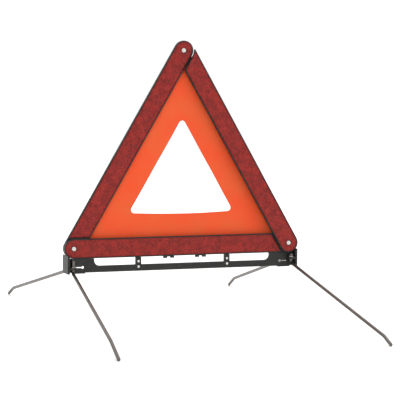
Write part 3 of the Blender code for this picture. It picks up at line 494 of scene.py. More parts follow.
@dataclass(frozen=True)
class SewingThread(Finish):
    """Twisted polyester thread: matt, slightly darker than the cloth, with a fine diagonal ply."""

    colour: str = "#d8431d"
    shade: str = "#a92e12"
    ply: float = 0.5  # mm

    def dress(self, tree: NodeTree, shader: Node) -> None:
        """Diagonal bands of two oranges that follow the twist.

        Args:
            tree: the material\'s node tree.
            shader: its Principled BSDF.
        """
        place = add_node(tree, "TexCoord").outputs["Object"]
        scale = 2 * math.pi / (20 * self.ply * MM)
        ply = add_node(tree, "TexWave", {"Vector": place, "Scale": scale}, bands_direction="DIAGONAL")
        ends = {6: linear(self.shade), 7: linear(self.colour)}
        colour = add_node(tree, "Mix", {0: ply.outputs["Fac"], **ends}, data_type="RGBA")
        set_inputs(tree, shader, {"Base Color": colour.outputs[2], "Roughness": 0.7})


@dataclass(frozen=True)
class BrightZinc(Finish):
    """Zinc-plated steel, as on rivets: pale grey metal with a soft cloudy shine."""

    pale: str = "#e4e2dd"
    dull: str = "#b9b6af"
    cloud: float = 1.6  # mm

    def dress(self, tree: NodeTree, shader: Node) -> None:
        """Small clouds in colour and roughness.

        Args:
            tree: the material\'s node tree.
            shader: its Principled BSDF.
        """
        place = add_node(tree, "TexCoord").outputs["Object"]
        cloud = add_node(tree, "TexNoise", {"Vector": place, "Scale": per_mm(self.cloud), "Detail": 4.0})
        ends = {6: linear(self.dull), 7: linear(self.pale)}
        colour = add_node(tree, "Mix", {0: cloud.outputs["Fac"], **ends}, data_type="RGBA")
        rough = add_node(tree, "MapRange", {"Value": cloud.outputs["Fac"], "To Min": 0.22, "To Max": 0.42})
        sockets = {"Base Color": colour.outputs[2], "Roughness": rough.outputs["Result"], "Metallic": 1.0}
        set_inputs(tree, shader, sockets)


@dataclass(frozen=True)
class DrawnWire(Finish):
    """Drawn spring wire: grey-brown steel with long streaks from the die and a narrow bright line."""

    dark: str = "#4a4643"
    light: str = "#7d7975"
    streak: float = 0.5  # mm across, and forty times as long

    def dress(self, tree: NodeTree, shader: Node) -> None:
        """Noise stretched along the wire, for colour, roughness and a shallow relief.

        Args:
            tree: the material\'s node tree.
            shader: its Principled BSDF.
        """
        place = add_node(tree, "TexCoord").outputs["UV"]
        long = add_node(tree, "Mapping", {"Vector": place, "Scale": (0.025, 1.0, 1.0)})
        streak = add_node(
            tree, "TexNoise", {"Vector": long.outputs["Vector"], "Scale": per_mm(self.streak), "Detail": 3.0}
        )
        ends = {6: linear(self.dark), 7: linear(self.light)}
        colour = add_node(tree, "Mix", {0: streak.outputs["Fac"], **ends}, data_type="RGBA")
        rough = add_node(tree, "MapRange", {"Value": streak.outputs["Fac"], "To Min": 0.26, "To Max": 0.46})
        relief = {"Height": streak.outputs["Fac"], "Strength": 0.15, "Distance": 0.05 * MM}
        sockets = {
            "Base Color": colour.outputs[2],
            "Roughness": rough.outputs["Result"],
            "Normal": add_node(tree, "Bump", relief).outputs["Normal"],
            "Metallic": 1.0,
        }
        set_inputs(tree, shader, sockets)


@dataclass(frozen=True)
class NaturalNylon(Finish):
    """Uncoloured nylon: milky, waxy, slightly yellow."""

    milk: str = "#d9d5c8"
    cream: str = "#c9c3b0"
    cloud: float = 3.0  # mm

    def dress(self, tree: NodeTree, shader: Node) -> None:
        """A faint cloudiness.

        Args:
            tree: the material\'s node tree.
            shader: its Principled BSDF.
        """
        place = add_node(tree, "TexCoord").outputs["Object"]
        cloud = add_node(tree, "TexNoise", {"Vector": place, "Scale": per_mm(self.cloud)})
        ends = {6: linear(self.milk), 7: linear(self.cream)}
        colour = add_node(tree, "Mix", {0: cloud.outputs["Fac"], **ends}, data_type="RGBA")
        set_inputs(tree, shader, {"Base Color": colour.outputs[2], "Roughness": 0.45, "IOR": 1.53})


@dataclass(frozen=True)
class StudioPaper(Finish):
    """White background paper."""

    tone: str = "#fbfbfa"

    def dress(self, tree: NodeTree, shader: Node) -> None:
        """A plain matt white.

        Args:
            tree: the material\'s node tree.
            shader: its Principled BSDF.
        """
        set_inputs(tree, shader, {"Base Color": linear(self.tone), "Roughness": 0.9})


BLACK_ABS = MouldedAbs("moulded_abs_black", "black_plastic")
RED_ACRYLIC = PrismAcrylic("prism_acrylic_red", "red_lens")
ORANGE_CLOTH = FluorescentPolyester("woven_polyester_orange", "orange_fabric")
ORANGE_THREAD = SewingThread("sewing_thread_orange", "orange_fabric")
ZINC = BrightZinc("zinc_plated_steel", "rivet_steel")
WIRE = DrawnWire("drawn_wire_steel", "steel_wire")
NYLON = NaturalNylon("natural_nylon", "nylon")
PAPER = StudioPaper("studio_paper", "")


def finished(obj: Object, finish: Finish, body: str, *nodes: str) -> Object:
    """Dresses a new piece, ties it to its body, and hides the CAD nodes that it stands for.

    Args:
        obj: the piece.
        finish: what it is made of.
        body: the body it rides on.
        *nodes: the CAD nodes that it replaces.

    Returns:
        The same piece.
    """
    obj.data.materials.append(finish.material())
    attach(obj, body)
    if nodes:
        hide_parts(*nodes)
    return obj


def dress_node(node: str, finish: Finish) -> None:
    """Gives a CAD node its finish.

    Args:
        node: the node's name.
        finish: what it is made of.
    """
    obj = frame["nodes"][node]
    if obj.material_slots:
        obj.material_slots[0].material = finish.material()
    else:
        obj.data.materials.append(finish.material())


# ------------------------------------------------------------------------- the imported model's data


def joint(name: str) -> dict:
    """A joint's entry in the record."""
    return next(j for j in frame["record"]["behaviour"]["joints"] if j["name"] == name)


def joint_place(name: str) -> np.ndarray:
    """Where a joint's axis passes, in the row frame."""
    return np.array(joint(name)["pos_m"], float)


def joint_axis(name: str) -> np.ndarray:
    """A joint's unit axis, pointing up."""
    axis = unit(np.array(joint(name)["axis"], float))
    return axis if axis[2] > 0 else -axis


def node_box(node: str) -> np.ndarray:
    """A node's lowest and highest corners, as a (2, 3) array."""
    return np.array([list(corner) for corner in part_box(node)], float)


def node_centre(node: str) -> np.ndarray:
    """The middle of a node's box."""
    return node_box(node).mean(0)


@dataclass
class Local:
    """A right-handed frame on the object: X along a piece, Y to its rear, Z to its inner side."""

    origin: np.ndarray
    along: np.ndarray
    back: np.ndarray
    inside: np.ndarray

    def place(self, points: np.ndarray) -> np.ndarray:
        """Local points in the row frame."""
        return self.origin + points @ np.stack([self.along, self.back, self.inside])


# --------------------------------------------------------------------------------- reflector arms


class PrismHand(Enum):
    """Which way a tile's corner prisms are turned, so that neighbouring tiles differ in tone."""

    LEFT = 1
    RIGHT = 2


@dataclass
class ReflectorLens:
    """The red lens of one arm: a bevelled slab whose recess holds tiles of corner prisms.

    All sizes are metres in the arm's frame, whose origin is the head's pivot.
    """

    arm: str
    body: str
    local: Local
    length: float  # to the next pivot
    half_width: float
    tail_distance: float  # from the next arm's centre line to the lens tail
    front: float  # local Y of the front face
    rear: float
    corner: float = math.radians(60)  # between two arms
    follows_head: bool = False  # whether the tail goes on round the next arm's head
    well: float = 0.0050
    bevel: float = 0.0005
    border: float = 0.0011
    recess: float = 0.0005
    draft: float = 0.0002  # how far the recess's wall leans in
    margin: float = 0.0004  # between a tile's edge and the recess's wall
    overlap: float = 0.0002  # of a tile into the slab
    well_rim: float = 0.0009  # between the well and the first prisms
    prism: float = 0.0017  # side of one prism triangle
    relief: float = 0.00034  # peak to valley
    tile_ends: tuple[float, ...] = (0.021, 0.082, 0.196, 0.310)
    seam: float = 0.0006  # between two tiles
    head_points: int = 33
    side_points: int = 11
    tail_points: int = 17
    head_columns: int = 48
    head_rows: int = 6

    def tail_x(self, z: np.ndarray, inset: float) -> np.ndarray:
        """X of the tail's edge at height z, moved inwards by an inset.

        The edge is a line beside the next arm. A tail that follows the next arm's head turns,
        where the line touches that head's circle, into the circle about the next pivot.

        Args:
            z: heights on the arm.
            inset: how far the edge is moved.

        Returns:
            An X for each height.
        """
        distance = self.tail_distance + inset
        line = self.length - (distance + z * math.cos(self.corner)) / math.sin(self.corner)
        if not self.follows_head:
            return line
        circle = self.length - np.sqrt(np.maximum(distance**2 - z**2, 0))
        return np.where(z < -distance * math.cos(self.corner), circle, line)

    def loop(self, inset: float) -> np.ndarray:
        """The lens outline moved inwards: half a circle round the head, and straight edges.

        Args:
            inset: how far it is moved.

        Returns:
            (n, 2) points, anticlockwise as seen from the front, always n for any inset.
        """
        half = self.half_width - inset
        head = arc_points((0, 0), half, 90, 270, self.head_points)
        steps = half / np.tan(np.radians(np.linspace(82.5, 7.5, self.side_points)))
        low = np.stack([steps, np.full(self.side_points, -half)], -1)
        z = half * np.sin(np.radians(np.linspace(-90, 90, self.tail_points)))
        tail = np.stack([self.tail_x(z, inset), z], -1)
        high = np.stack([steps[::-1], np.full(self.side_points, half)], -1)
        return np.concatenate([head, low, tail, high])

    def slab(self) -> Surface:
        """The slab, as rings carried from the well's bottom over the front and round to the rear.

        Ring k is the outline moved inwards by d_k at depth y_k. The two well rings are the
        outline's own directions at the well's radius, so the flats between are ruled.

        Returns:
            The closed slab.
        """
        outline = self.loop(0)
        well = unit(outline) * self.well
        steps = 4
        turn = np.radians(np.linspace(0, 90, steps))
        bevel = [(self.bevel * (1 - math.sin(t)), self.front + self.bevel * (1 - math.cos(t))) for t in turn]
        floor = self.front + self.recess
        rings = [
            (well, self.rear),
            (well, floor),
            (self.loop(self.border + self.draft), floor),
            (self.loop(self.border), self.front),
            *[(self.loop(inset), y) for inset, y in bevel],
            (outline, self.rear - self.bevel / 2),
            (self.loop(self.bevel / 2), self.rear),
        ]
        flat = np.stack([ring for ring, _ in rings])
        depths = np.broadcast_to(np.array([[y] for _, y in rings]), flat.shape[:2])
        grid = np.stack([flat[..., 0], depths, flat[..., 1]], -1)
        uv = np.concatenate([grid, grid[:, :1]], 1)
        uv = np.concatenate([uv, uv[:1]], 0)[..., [0, 2]]
        return Surface.from_grid(grid, uv, close_rows=True, close_columns=True)

    def levels(self, column: np.ndarray, row: np.ndarray, hand: PrismHand) -> np.ndarray:
        """Depth of each lattice point: three levels that repeat, which makes corner-cube facets."""
        level = (hand.value * (column - row)) % 3
        return self.front + self.relief * level / 2

    def closed_tile(
        self, x: np.ndarray, y: np.ndarray, z: np.ndarray, faces: np.ndarray, rings: list[np.ndarray]
    ) -> Surface:
        """A tile's facets with a skirt down into the slab, and a bottom.

        Args:
            x: X of every lattice point.
            y: Y of every lattice point.
            z: Z of every lattice point.
            faces: triangles of the top.
            rings: the vertex numbers of each edge loop, anticlockwise from the front, the outer
                one first.

        Returns:
            The closed tile.
        """
        top = np.stack([x.ravel(), y.ravel(), z.ravel()], -1)
        count = len(top)
        bottom_y = self.front + self.recess + self.overlap
        vertices, groups = [top], [faces]
        lows = []
        for ring in rings:
            low = top[ring].copy()
            low[:, 1] = bottom_y
            number = count + np.arange(len(ring))
            count += len(ring)
            vertices.append(low)
            lows.append(number)
            groups.append(np.stack([ring, number, np.roll(number, -1), np.roll(ring, -1)], -1))
        if len(lows) == 1:
            groups.append(lows[0][None, :])
        else:
            outer, inner = lows
            inner = inner[::-1]
            shift = np.roll(inner, 1)
            groups.append(np.stack([outer, shift, np.roll(shift, -1), np.roll(outer, -1)], -1))
        whole = np.concatenate(vertices)
        return Surface(whole, groups, [whole[group][..., [0, 2]] for group in groups])

    def strip_tile(self, start: float, end: float | None, hand: PrismHand) -> Surface:
        """A tile of prisms across the strip: a lattice of triangles whose odd rows are half a step on.

        Args:
            start: X of the tile's near end.
            end: X of its far end, or None for the slanted tail.
            hand: which way its prisms turn.

        Returns:
            The closed tile.
        """
        inset = self.border + self.margin
        half = self.half_width - inset
        rows = round(2 * half / (self.prism * math.sqrt(3) / 2))
        stop = end if end is not None else self.tail_x(0, inset)
        columns = round((stop - start) / self.prism)
        row, column = np.meshgrid(np.arange(rows + 1), np.arange(columns + 2), indexing="ij")
        z = -half + 2 * half * row / rows
        far = np.full(z.shape, end) if end is not None else self.tail_x(z, inset)
        share = np.clip((column - 0.5 * (row % 2)) / columns, 0, 1)
        x = start + (far - start) * share
        y = self.levels(column - (row + row % 2) // 2, row, hand)
        edge = (row == 0) | (row == rows) | (share <= 0) | (share >= 1)
        y = np.where(edge, self.front + self.relief / 2, y)
        index = np.arange(x.size).reshape(x.shape)
        a, b, c, d = index[:-1, :-1], index[:-1, 1:], index[1:, :-1], index[1:, 1:]
        even = (row[:-1, :-1] % 2 == 0)[..., None]
        first = np.where(even, np.stack([a, d, c], -1), np.stack([a, b, c], -1))
        second = np.where(even, np.stack([a, b, d], -1), np.stack([b, d, c], -1))
        faces = np.concatenate([first.reshape(-1, 3), second.reshape(-1, 3)])
        ring = np.concatenate([index[0, :-1], index[:-1, -1], index[-1, :0:-1], index[:0:-1, 0]])
        return self.closed_tile(x, y, z, faces, [ring])

    def head_tile(self) -> Surface:
        """The round end's tile: rings of prisms from the rivet's well out to the edge.

        Along the ray at angle a, the edge is the nearer of the round end, the two straight sides
        and the first tile's end.

        Returns:
            The closed tile, with the well's hole in it.
        """
        half = self.half_width - self.border - self.margin
        inner = self.well + self.well_rim
        row, column = np.meshgrid(np.arange(self.head_rows + 1), np.arange(self.head_columns), indexing="ij")
        turn = 2 * np.pi * (column + 0.5 * (row % 2)) / self.head_columns
        stop = self.tile_ends[0] - self.seam / 2
        sideways = half / np.maximum(np.abs(np.sin(turn)), 1e-9)
        ahead = np.where(np.cos(turn) > 1e-6, stop / np.maximum(np.cos(turn), 1e-6), half)
        reach = np.where(np.cos(turn) > 0, np.minimum(sideways, ahead), half)
        radius = inner + (reach - inner) * row / self.head_rows
        x, z = radius * np.cos(turn), radius * np.sin(turn)
        y = self.levels(column - row // 2, row, PrismHand.RIGHT)
        y = np.where((row == 0) | (row == self.head_rows), self.front + self.relief / 2, y)
        index = np.arange(x.size).reshape(x.shape)
        a, c = index[:-1], index[1:]
        b, d = np.roll(a, -1, 1), np.roll(c, -1, 1)
        even = (row[:-1] % 2 == 0)[..., None]
        first = np.where(even, np.stack([a, c, b], -1), np.stack([a, c, d], -1))
        second = np.where(even, np.stack([b, c, d], -1), np.stack([a, d, b], -1))
        faces = np.concatenate([first.reshape(-1, 3), second.reshape(-1, 3)])
        return self.closed_tile(x, y, z, faces[:, ::-1], [index[-1], index[0, ::-1]])

    def build(self) -> Object:
        """Makes the lens with its tiles as one piece that stands for the CAD lens.

        Returns:
            The piece.
        """
        starts = [end + self.seam / 2 for end in self.tile_ends]
        ends = [end - self.seam / 2 for end in self.tile_ends[1:]] + [None]
        tiles = [self.head_tile()]
        hands = [PrismHand.LEFT, PrismHand.RIGHT] * len(starts)
        tiles += [self.strip_tile(start, end, hand) for start, end, hand in zip(starts, ends, hands)]
        surface = self.slab().joined(*tiles).mapped(self.local.place)
        node = f"{self.arm}_arm_lens"
        obj = surface.to_object(f"{self.arm}_reflector", flat=True)
        return finished(obj, RED_ACRYLIC, self.body, node)


@dataclass
class RivetHeads:
    """A steel rivet: a rolled front head with a small hollow, a shank, and a closed rear head.

    Heights are local, along the rivet, with plus to the front.
    """

    name: str
    body: str
    node: str
    head: float
    shank: float
    rear_head: float
    hollow: float = 0.35  # share of the head's radius
    hollow_depth: float = 0.0007
    crown: float = 0.0009  # from the head's top down to its full width
    head_height: float = 0.0028
    neck: float = 0.0002  # slope under the head
    rear_height: float = 0.0012
    rounding: float = 0.0005
    steps: int = 40

    def build(self, forward: np.ndarray) -> Object:
        """Turns the rivet, inside its CAD node's space.

        Args:
            forward: the unit vector from its rear head to its front one.

        Returns:
            The piece.
        """
        box = node_box(self.node)
        centre = box.mean(0)
        reach = np.abs((box[1] - box[0]) @ forward) / 2
        half = reach - self.rear_head * abs(forward[2]) * 0.5
        top, bottom = half, -half
        profile = rounded(
            [
                (0, top - self.hollow_depth),
                (self.head * self.hollow, top - self.hollow_depth),
                (self.head * (self.hollow + 0.12), top),
                (self.head * 0.78, top),
                (self.head, top - self.crown),
                (self.head, top - self.head_height),
                (self.shank, top - (self.head_height + self.neck)),
                (self.shank, bottom + self.rear_height),
                (self.rear_head, bottom + self.rear_height),
                (self.rear_head * 0.85, bottom),
                (0, bottom),
            ],
            self.rounding,
        )
        side = unit(np.cross(forward, [0.0, 0.0, 1.0]))
        up = np.cross(side, forward)

        def place(points: np.ndarray) -> np.ndarray:
            """Local points, with Z forward, in the row frame."""
            return centre + points @ np.stack([up, side, forward])

        obj = revolve(profile, self.steps).mapped(place).to_object(self.name)
        return finished(obj, ZINC, self.body, self.node)


@dataclass
class ReflectorArms:
    """The three arms: their lenses, and the finishes of their trays."""

    bodies: dict[str, str] = field(
        default_factory=lambda: {"bottom": "base", "right": "right_arm", "left": "left_arm"}
    )
    slit: float = 0.0005  # between the right arm's tail and the left arm's head
    tail_rim: float = 0.0011  # of the right arm's tray, across its tail
    shank: float = 0.0020
    rivet_head: float = 0.0043
    rivet_rear_head: float = 0.0048

    def frames(self) -> dict[str, Local]:
        """Each arm's own frame: origin at the head's pivot, X along it, Z to its inner side.

        Returns:
            The frames by the arms' names. The left arm's leans back with its joint's axis.
        """
        left, right = joint_place("left_arm_fold"), joint_place("right_arm_fold")
        length = float(right[0] - left[0])
        tall = math.sqrt(3) / 2
        ahead, rear = np.array([1.0, 0, 0]), np.array([0.0, 1, 0])
        back = joint_axis("left_arm_fold")
        up = np.cross(ahead, back)
        head = left + np.array([length / 2, 0, 0]) + length * tall * up - back * right[1]
        return {
            "bottom": Local(np.array([left[0], 0.0, left[2]]), ahead, rear, np.array([0.0, 0, 1])),
            "right": Local(right, np.array([-0.5, 0, tall]), rear, np.array([-tall, 0, -0.5])),
            "left": Local(head, np.array([-0.5, 0, 0]) - tall * up, back, tall * ahead - 0.5 * up),
        }

    def build(self) -> list[Object]:
        """Makes the three lenses and the rivets, and dresses the trays, washers and stud.

        Returns:
            The new pieces.
        """
        frames = self.frames()
        length = float(frames["right"].origin[0] - frames["bottom"].origin[0])
        lens_box, tray_box = node_box("bottom_arm_lens"), node_box("bottom_arm_back")
        half = float(lens_box[1, 2] - lens_box[0, 2]) / 2
        arm_half = float(tray_box[1, 2] - frames["bottom"].origin[2])
        front, rear = float(lens_box[0, 1]), float(lens_box[1, 1])
        made = []
        for name, body in self.bodies.items():
            follows = name == "right"
            tail = arm_half + self.slit + self.tail_rim if follows else 2 * arm_half - half
            sizes = (length, half, tail, front, rear)
            lens = ReflectorLens(name, body, frames[name], *sizes, follows_head=follows)
            made.append(lens.build())
            dress_node(f"{name}_arm_back", BLACK_ABS)
        forward = np.array([0.0, -1.0, 0.0])
        rivets = (
            ("left_pivot", "base", forward),
            ("right_pivot", "base", forward),
            ("apex", "left_arm", -frames["left"].back),
        )
        for label, body, facing in rivets:
            radii = (self.rivet_head, self.shank, self.rivet_rear_head)
            made.append(RivetHeads(label, body, f"{label}_rivet", *radii).build(facing))
        for node in ("left_pivot_washer", "right_pivot_washer"):
            dress_node(node, NYLON)
        for node in ("apex_washer", "apex_snap_stud"):
            dress_node(node, ZINC)
        return made


# ---------------------------------------------------------------------------------- fabric panel


@dataclass
class FabricPanel:
    """The orange panel: a cut sheet with an open triangle, hems behind its edges, and eyelets.

    It leans with the left arm, so its own frame is the left arm's: origin at the left pivot, X to
    the right, Y to the rear and Z up the slope.
    """

    spacing: float
    local: Local
    depth: float = 0.00695  # local Y of the cloth's front face
    hole_inset: float = 0.0603
    hole_corner: float = 0.0065
    corner_cut: float = 0.017
    lower_edge: float = 0.004
    apex_radius: float = 0.009
    tab_half_width: float = 0.0045
    tab_lap: float = 0.010  # of a tab over the cloth
    tab_middle: float = 0.28  # the tab's inner ring, as a share of its outline
    tab_gap: float = 0.0001  # of a tab behind the cloth's face
    thickness: float = 0.0006
    hem_outer: float = 0.0002  # inside the cut
    hem_inner: float = 0.009
    hem_bulge: float = 0.0006
    hem_thickness: float = 0.0004
    seam_inset: float = 0.0074
    seam_lift: float = 0.0009  # behind the cloth
    stitch_pitch: float = 0.0036
    stitch_length: float = 0.0026
    thread_radius: float = 0.00022
    eyelet_radius: float = 0.0046
    eyelet_roll: float = 0.0007
    sag: float = 0.0022  # of the hole's lower edge
    ripple: float = 0.0009
    rows: int = 36
    side_points: int = 56
    corner_points: int = 9

    @property
    def rise(self) -> float:
        """Height of the triangle between the three pivots."""
        return self.spacing * math.sqrt(3) / 2

    def closed_loop(self, corners: list[np.ndarray]) -> np.ndarray:
        """Three rounded corners joined by straight sides, with the same points on any such loop.

        Args:
            corners: an (n, 2) run of points for each corner, in order.

        Returns:
            (m, 2) points, where the last joins the first.
        """
        parts = []
        for here, ahead in zip(corners, corners[1:] + corners[:1]):
            share = np.linspace(0, 1, self.side_points + 2)[1:-1, None]
            parts += [here, here[-1] + (ahead[0] - here[-1]) * share]
        return np.concatenate(parts)

    def outer_loop(self, inset: float = 0.0) -> np.ndarray:
        """The cloth's outer cut: round at the apex, cut square at the two lower corners.

        Args:
            inset: how far the loop is moved in from the cut. The apex moves down by a little less
                and narrows by half as much, so that it stays round.

        Returns:
            (m, 2) points.
        """
        middle = self.spacing / 2
        out = middle - self.corner_cut - inset
        low = self.lower_edge + inset
        high = self.corner_cut * math.tan(math.radians(60)) - inset * 0.3
        share = np.linspace(0, 1, self.corner_points)[:, None]
        apex = arc_points((middle, self.rise), self.apex_radius, 30, 150, self.corner_points)
        apex = apex + np.array([0, -inset * 0.9])
        apex[:, 0] = middle + (apex[:, 0] - middle) * max(0.2, 1 - inset / self.apex_radius * 0.5)
        left_high, left_low = np.array([middle - out, high]), np.array([middle - out, low])
        left = left_high + (left_low - left_high) * share
        right = np.stack([2 * middle - left[::-1, 0], left[::-1, 1]], -1)
        return self.closed_loop([apex, left, right])

    def hole_loop(self, grow: float = 0.0) -> np.ndarray:
        """The open centre's edge, with rounded corners and a lower side that sags a little.

        The lower side drops by sag times one minus the squared share of its half length.

        Args:
            grow: how much the corners' radius grows.

        Returns:
            (m, 2) points.
        """
        centre = np.array([self.spacing / 2, self.rise / 3])
        inner = self.rise / 3 - self.hole_inset - self.hole_corner
        corners = []
        for direction in (90, 210, 330):
            turn = math.radians(direction)
            at = centre + 2 * inner * np.array([math.cos(turn), math.sin(turn)])
            ends = (direction - 60, direction + 60)
            corners.append(arc_points(tuple(at), self.hole_corner + grow, *ends, self.corner_points))
        loop = self.closed_loop(corners)
        half = 2 * inner * math.cos(math.radians(30))
        share = np.clip(1 - ((loop[:, 0] - centre[0]) / half) ** 2, 0, 1)
        low = smoothstep(-0.2 * inner, -inner, loop[:, 1] - centre[1])
        loop[:, 1] -= self.sag * share * low
        return loop

    def wave(self, x: np.ndarray, z: np.ndarray, share: np.ndarray) -> np.ndarray:
        """How far the cloth stands behind its flat place.

        The sum of four slow sine waves, which grows from nothing under the arms to full size at
        the open centre's edge.

        Args:
            x: X of every point.
            z: Z of every point.
            share: how far each point is from the outer cut to the hole's edge.

        Returns:
            A distance for each point.
        """
        # phase, waves along X and Z in radians a metre, and size
        waves = (
            (0.0, 34.0, 58.0, 0.50),
            (1.3, -52.0, 37.0, 0.35),
            (2.1, 85.0, 21.0, 0.25),
            (0.7, 17.0, -96.0, 0.20),
        )
        total = sum(size * np.sin(phase + kx * x + kz * z) for phase, kx, kz, size in waves)
        return self.ripple * smoothstep(0.30, 1.0, share) * (0.9 + total)

    def sheet(self) -> Surface:
        """The cloth: each point is the share s of the way from the outer cut to the hole's edge.

        Returns:
            The open sheet, without its thickness.
        """
        outer, hole = self.outer_loop(), self.hole_loop()
        share = (np.linspace(0, 1, self.rows))[:, None]
        flat = outer[None] * (1 - share[..., None]) + hole[None] * share[..., None]
        x, z = flat[..., 0], flat[..., 1]
        y = self.depth + self.wave(x, z, np.broadcast_to(share, x.shape))
        grid = np.stack([x, y, z], -1)
        uv = np.concatenate([flat, flat[:, :1]], 1)
        return Surface.from_grid(grid, uv, close_columns=True)

    def area(self) -> float:
        """The cut's flat area: the outer loop's less the hole's.

        Returns:
            Square metres.
        """

        def inside(loop: np.ndarray) -> float:
            """The area in a loop, by the shoelace rule."""
            ahead = np.roll(loop, -1, 0)
            return abs(float(np.sum(loop[:, 0] * ahead[:, 1] - ahead[:, 0] * loop[:, 1]))) / 2

        return inside(self.outer_loop()) - inside(self.hole_loop())

    def thicken(self, obj: Object, thickness: float) -> None:
        """Gives a sheet its thickness, all of it to the rear.

        Args:
            obj: the sheet.
            thickness: in metres.
        """
        solid = obj.modifiers.new("thickness", "SOLIDIFY")
        solid.thickness = thickness
        solid.offset = -1.0
        solid.use_even_offset = True

    def squash(self, obj: Object) -> None:
        """Gives the piece its own copy of its mesh."""
        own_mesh(obj)

    def hem(self) -> Object:
        """A folded hem on the cloth's rear, with a soft bulge across it.

        At the share s from its outer to its inner edge it stands back by a quarter of its bulge,
        plus three quarters of it times the root of sin(pi s).

        Returns:
            The piece.
        """
        share = np.linspace(0, 1, 7)[:, None, None]
        first, second = self.outer_loop(self.hem_outer), self.outer_loop(self.hem_inner)
        flat = first[None] * (1 - share) + second[None] * share
        bulge = self.hem_bulge * (0.25 + 0.75 * np.sin(np.pi * share[..., 0]) ** 0.5)
        y = self.depth + self.thickness + bulge + 0 * flat[..., 0]
        grid = np.stack([flat[..., 0], y, flat[..., 1]], -1)
        uv = np.concatenate([flat, flat[:, :1]], 1)
        obj = Surface.from_grid(grid, uv, close_columns=True).mapped(self.local.place).to_object("cloth_hem")
        self.thicken(obj, self.hem_thickness)
        return finished(obj, ORANGE_CLOTH, "base")

    def build(self) -> list[Object]:
        """Makes the cloth, its hem, its seam, its tabs and its eyelet.

        Returns:
            The pieces.
        """
        cloth = self.sheet().mapped(self.local.place).to_object("orange_cloth")
        finished(cloth, ORANGE_CLOTH, "base", "orange_panel")
        self.thicken(cloth, self.thickness)
        hem = self.hem()
        seam = self.stitches()
        tabs = [self.tab(side) for side in (-1, 1)]
        eyelet = self.eyelet("apex_eyelet", self.spacing / 2, self.rise)
        self.area()
        for obj in (cloth, hem, seam, *tabs):
            self.squash(obj)
        return [cloth, hem, seam, *tabs, eyelet]

    def stitches(self) -> Object:
        """A row of stitches along the hem: short bowed threads, all worked out as one array.

        Thread k is centred at k times the pitch along the loop and points along it. Its section
        is a square on its corner that narrows to a quarter at both ends.

        Returns:
            The piece.
        """
        pitch, length, radius = self.stitch_pitch, self.stitch_length, self.thread_radius
        loop = self.outer_loop(self.seam_inset)
        closed = np.concatenate([loop, loop[:1]])
        along = np.concatenate([[0], np.cumsum(np.linalg.norm(np.diff(closed, axis=0), axis=1))])
        centres = np.arange(pitch / 2, along[-1], pitch)
        further = np.minimum(centres + 0.0005, along[-1])
        at = np.stack([np.interp(centres, along, closed[:, k]) for k in range(2)], -1)
        ahead = np.stack([np.interp(further, along, closed[:, k]) for k in range(2)], -1)
        tangent = unit(ahead - at)
        side = np.stack([-tangent[:, 1], tangent[:, 0]], -1)
        station = np.array([-0.5, -0.3, 0.0, 0.3, 0.5])
        girth = np.array([0.25, 0.9, 1.0, 0.9, 0.25]) * radius
        turn = np.array([0.25, 0.75, 1.25, 1.75]) * np.pi
        lift = self.depth + self.thickness + self.seam_lift
        middle = at[:, None, :] + tangent[:, None, :] * (station * length)[None, :, None]
        ring_side = np.cos(turn)[None, :] * girth[:, None]
        ring_back = np.sin(turn)[None, :] * girth[:, None]
        flat = middle[:, :, None, :] + side[:, None, None, :] * ring_side[None, :, :, None]
        bow = (radius * np.cos(np.pi * station))[None, :, None]
        y = lift + bow + ring_back[None] + 0 * flat[..., 0]
        grid = np.stack([flat[..., 0], y, flat[..., 1]], -1)
        count, rows, columns = grid.shape[:3]
        index = np.arange(count * rows * columns).reshape(count, rows, columns)
        wrapped = np.concatenate([index, index[:, :, :1]], 2)
        near, far = wrapped[:, :-1], wrapped[:, 1:]
        quads = np.stack([near[..., :-1], near[..., 1:], far[..., 1:], far[..., :-1]], -1)
        ends = np.concatenate([index[:, 0, ::-1], index[:, -1, :]])
        faces = [quads.reshape(-1, 4), ends]
        vertices = self.local.place(grid.reshape(-1, 3))
        surface = Surface(vertices, faces, [vertices[group][..., [0, 2]] for group in faces])
        obj = surface.to_object("hem_stitches")
        recalculate(obj)
        return finished(obj, ORANGE_THREAD, "base")

    def tab(self, side: int) -> Object:
        """A doubled tab from the cloth's lower edge down to its screw.

        Args:
            side: -1 for the left tab, 1 for the right one.

        Returns:
            The piece.
        """
        name = "left" if side < 0 else "right"
        screw = self.unplace(node_centre(f"{name}_panel_washer"))
        half = self.tab_half_width
        round_end = arc_points((screw[0], screw[2]), half, 180, 360, 17)
        top = self.lower_edge + self.tab_lap
        outline = np.concatenate([[[screw[0] - half, top]], round_end, [[screw[0] + half, top]]])
        middle = screw[[0, 2]]
        inner = middle + (outline - middle) * self.tab_middle
        share = np.linspace(0, 1, 6)[:, None, None]
        flat = outline[None] * (1 - share) + inner[None] * share
        y = np.full(flat.shape[:2], self.depth + self.tab_gap)
        grid = np.stack([flat[..., 0], y, flat[..., 1]], -1)
        uv = np.concatenate([flat, flat[:, :1]], 1)
        sheet = Surface.from_grid(grid, uv, close_columns=True).mapped(self.local.place)
        obj = sheet.to_object(f"{name}_cloth_tab")
        self.thicken(obj, self.thickness)
        return finished(obj, ORANGE_CLOTH, "base")

    def unplace(self, point: np.ndarray) -> np.ndarray:
        """A point of the row frame in the panel's own frame."""
        return np.stack([self.local.along, self.local.back, self.local.inside]) @ (point - self.local.origin)

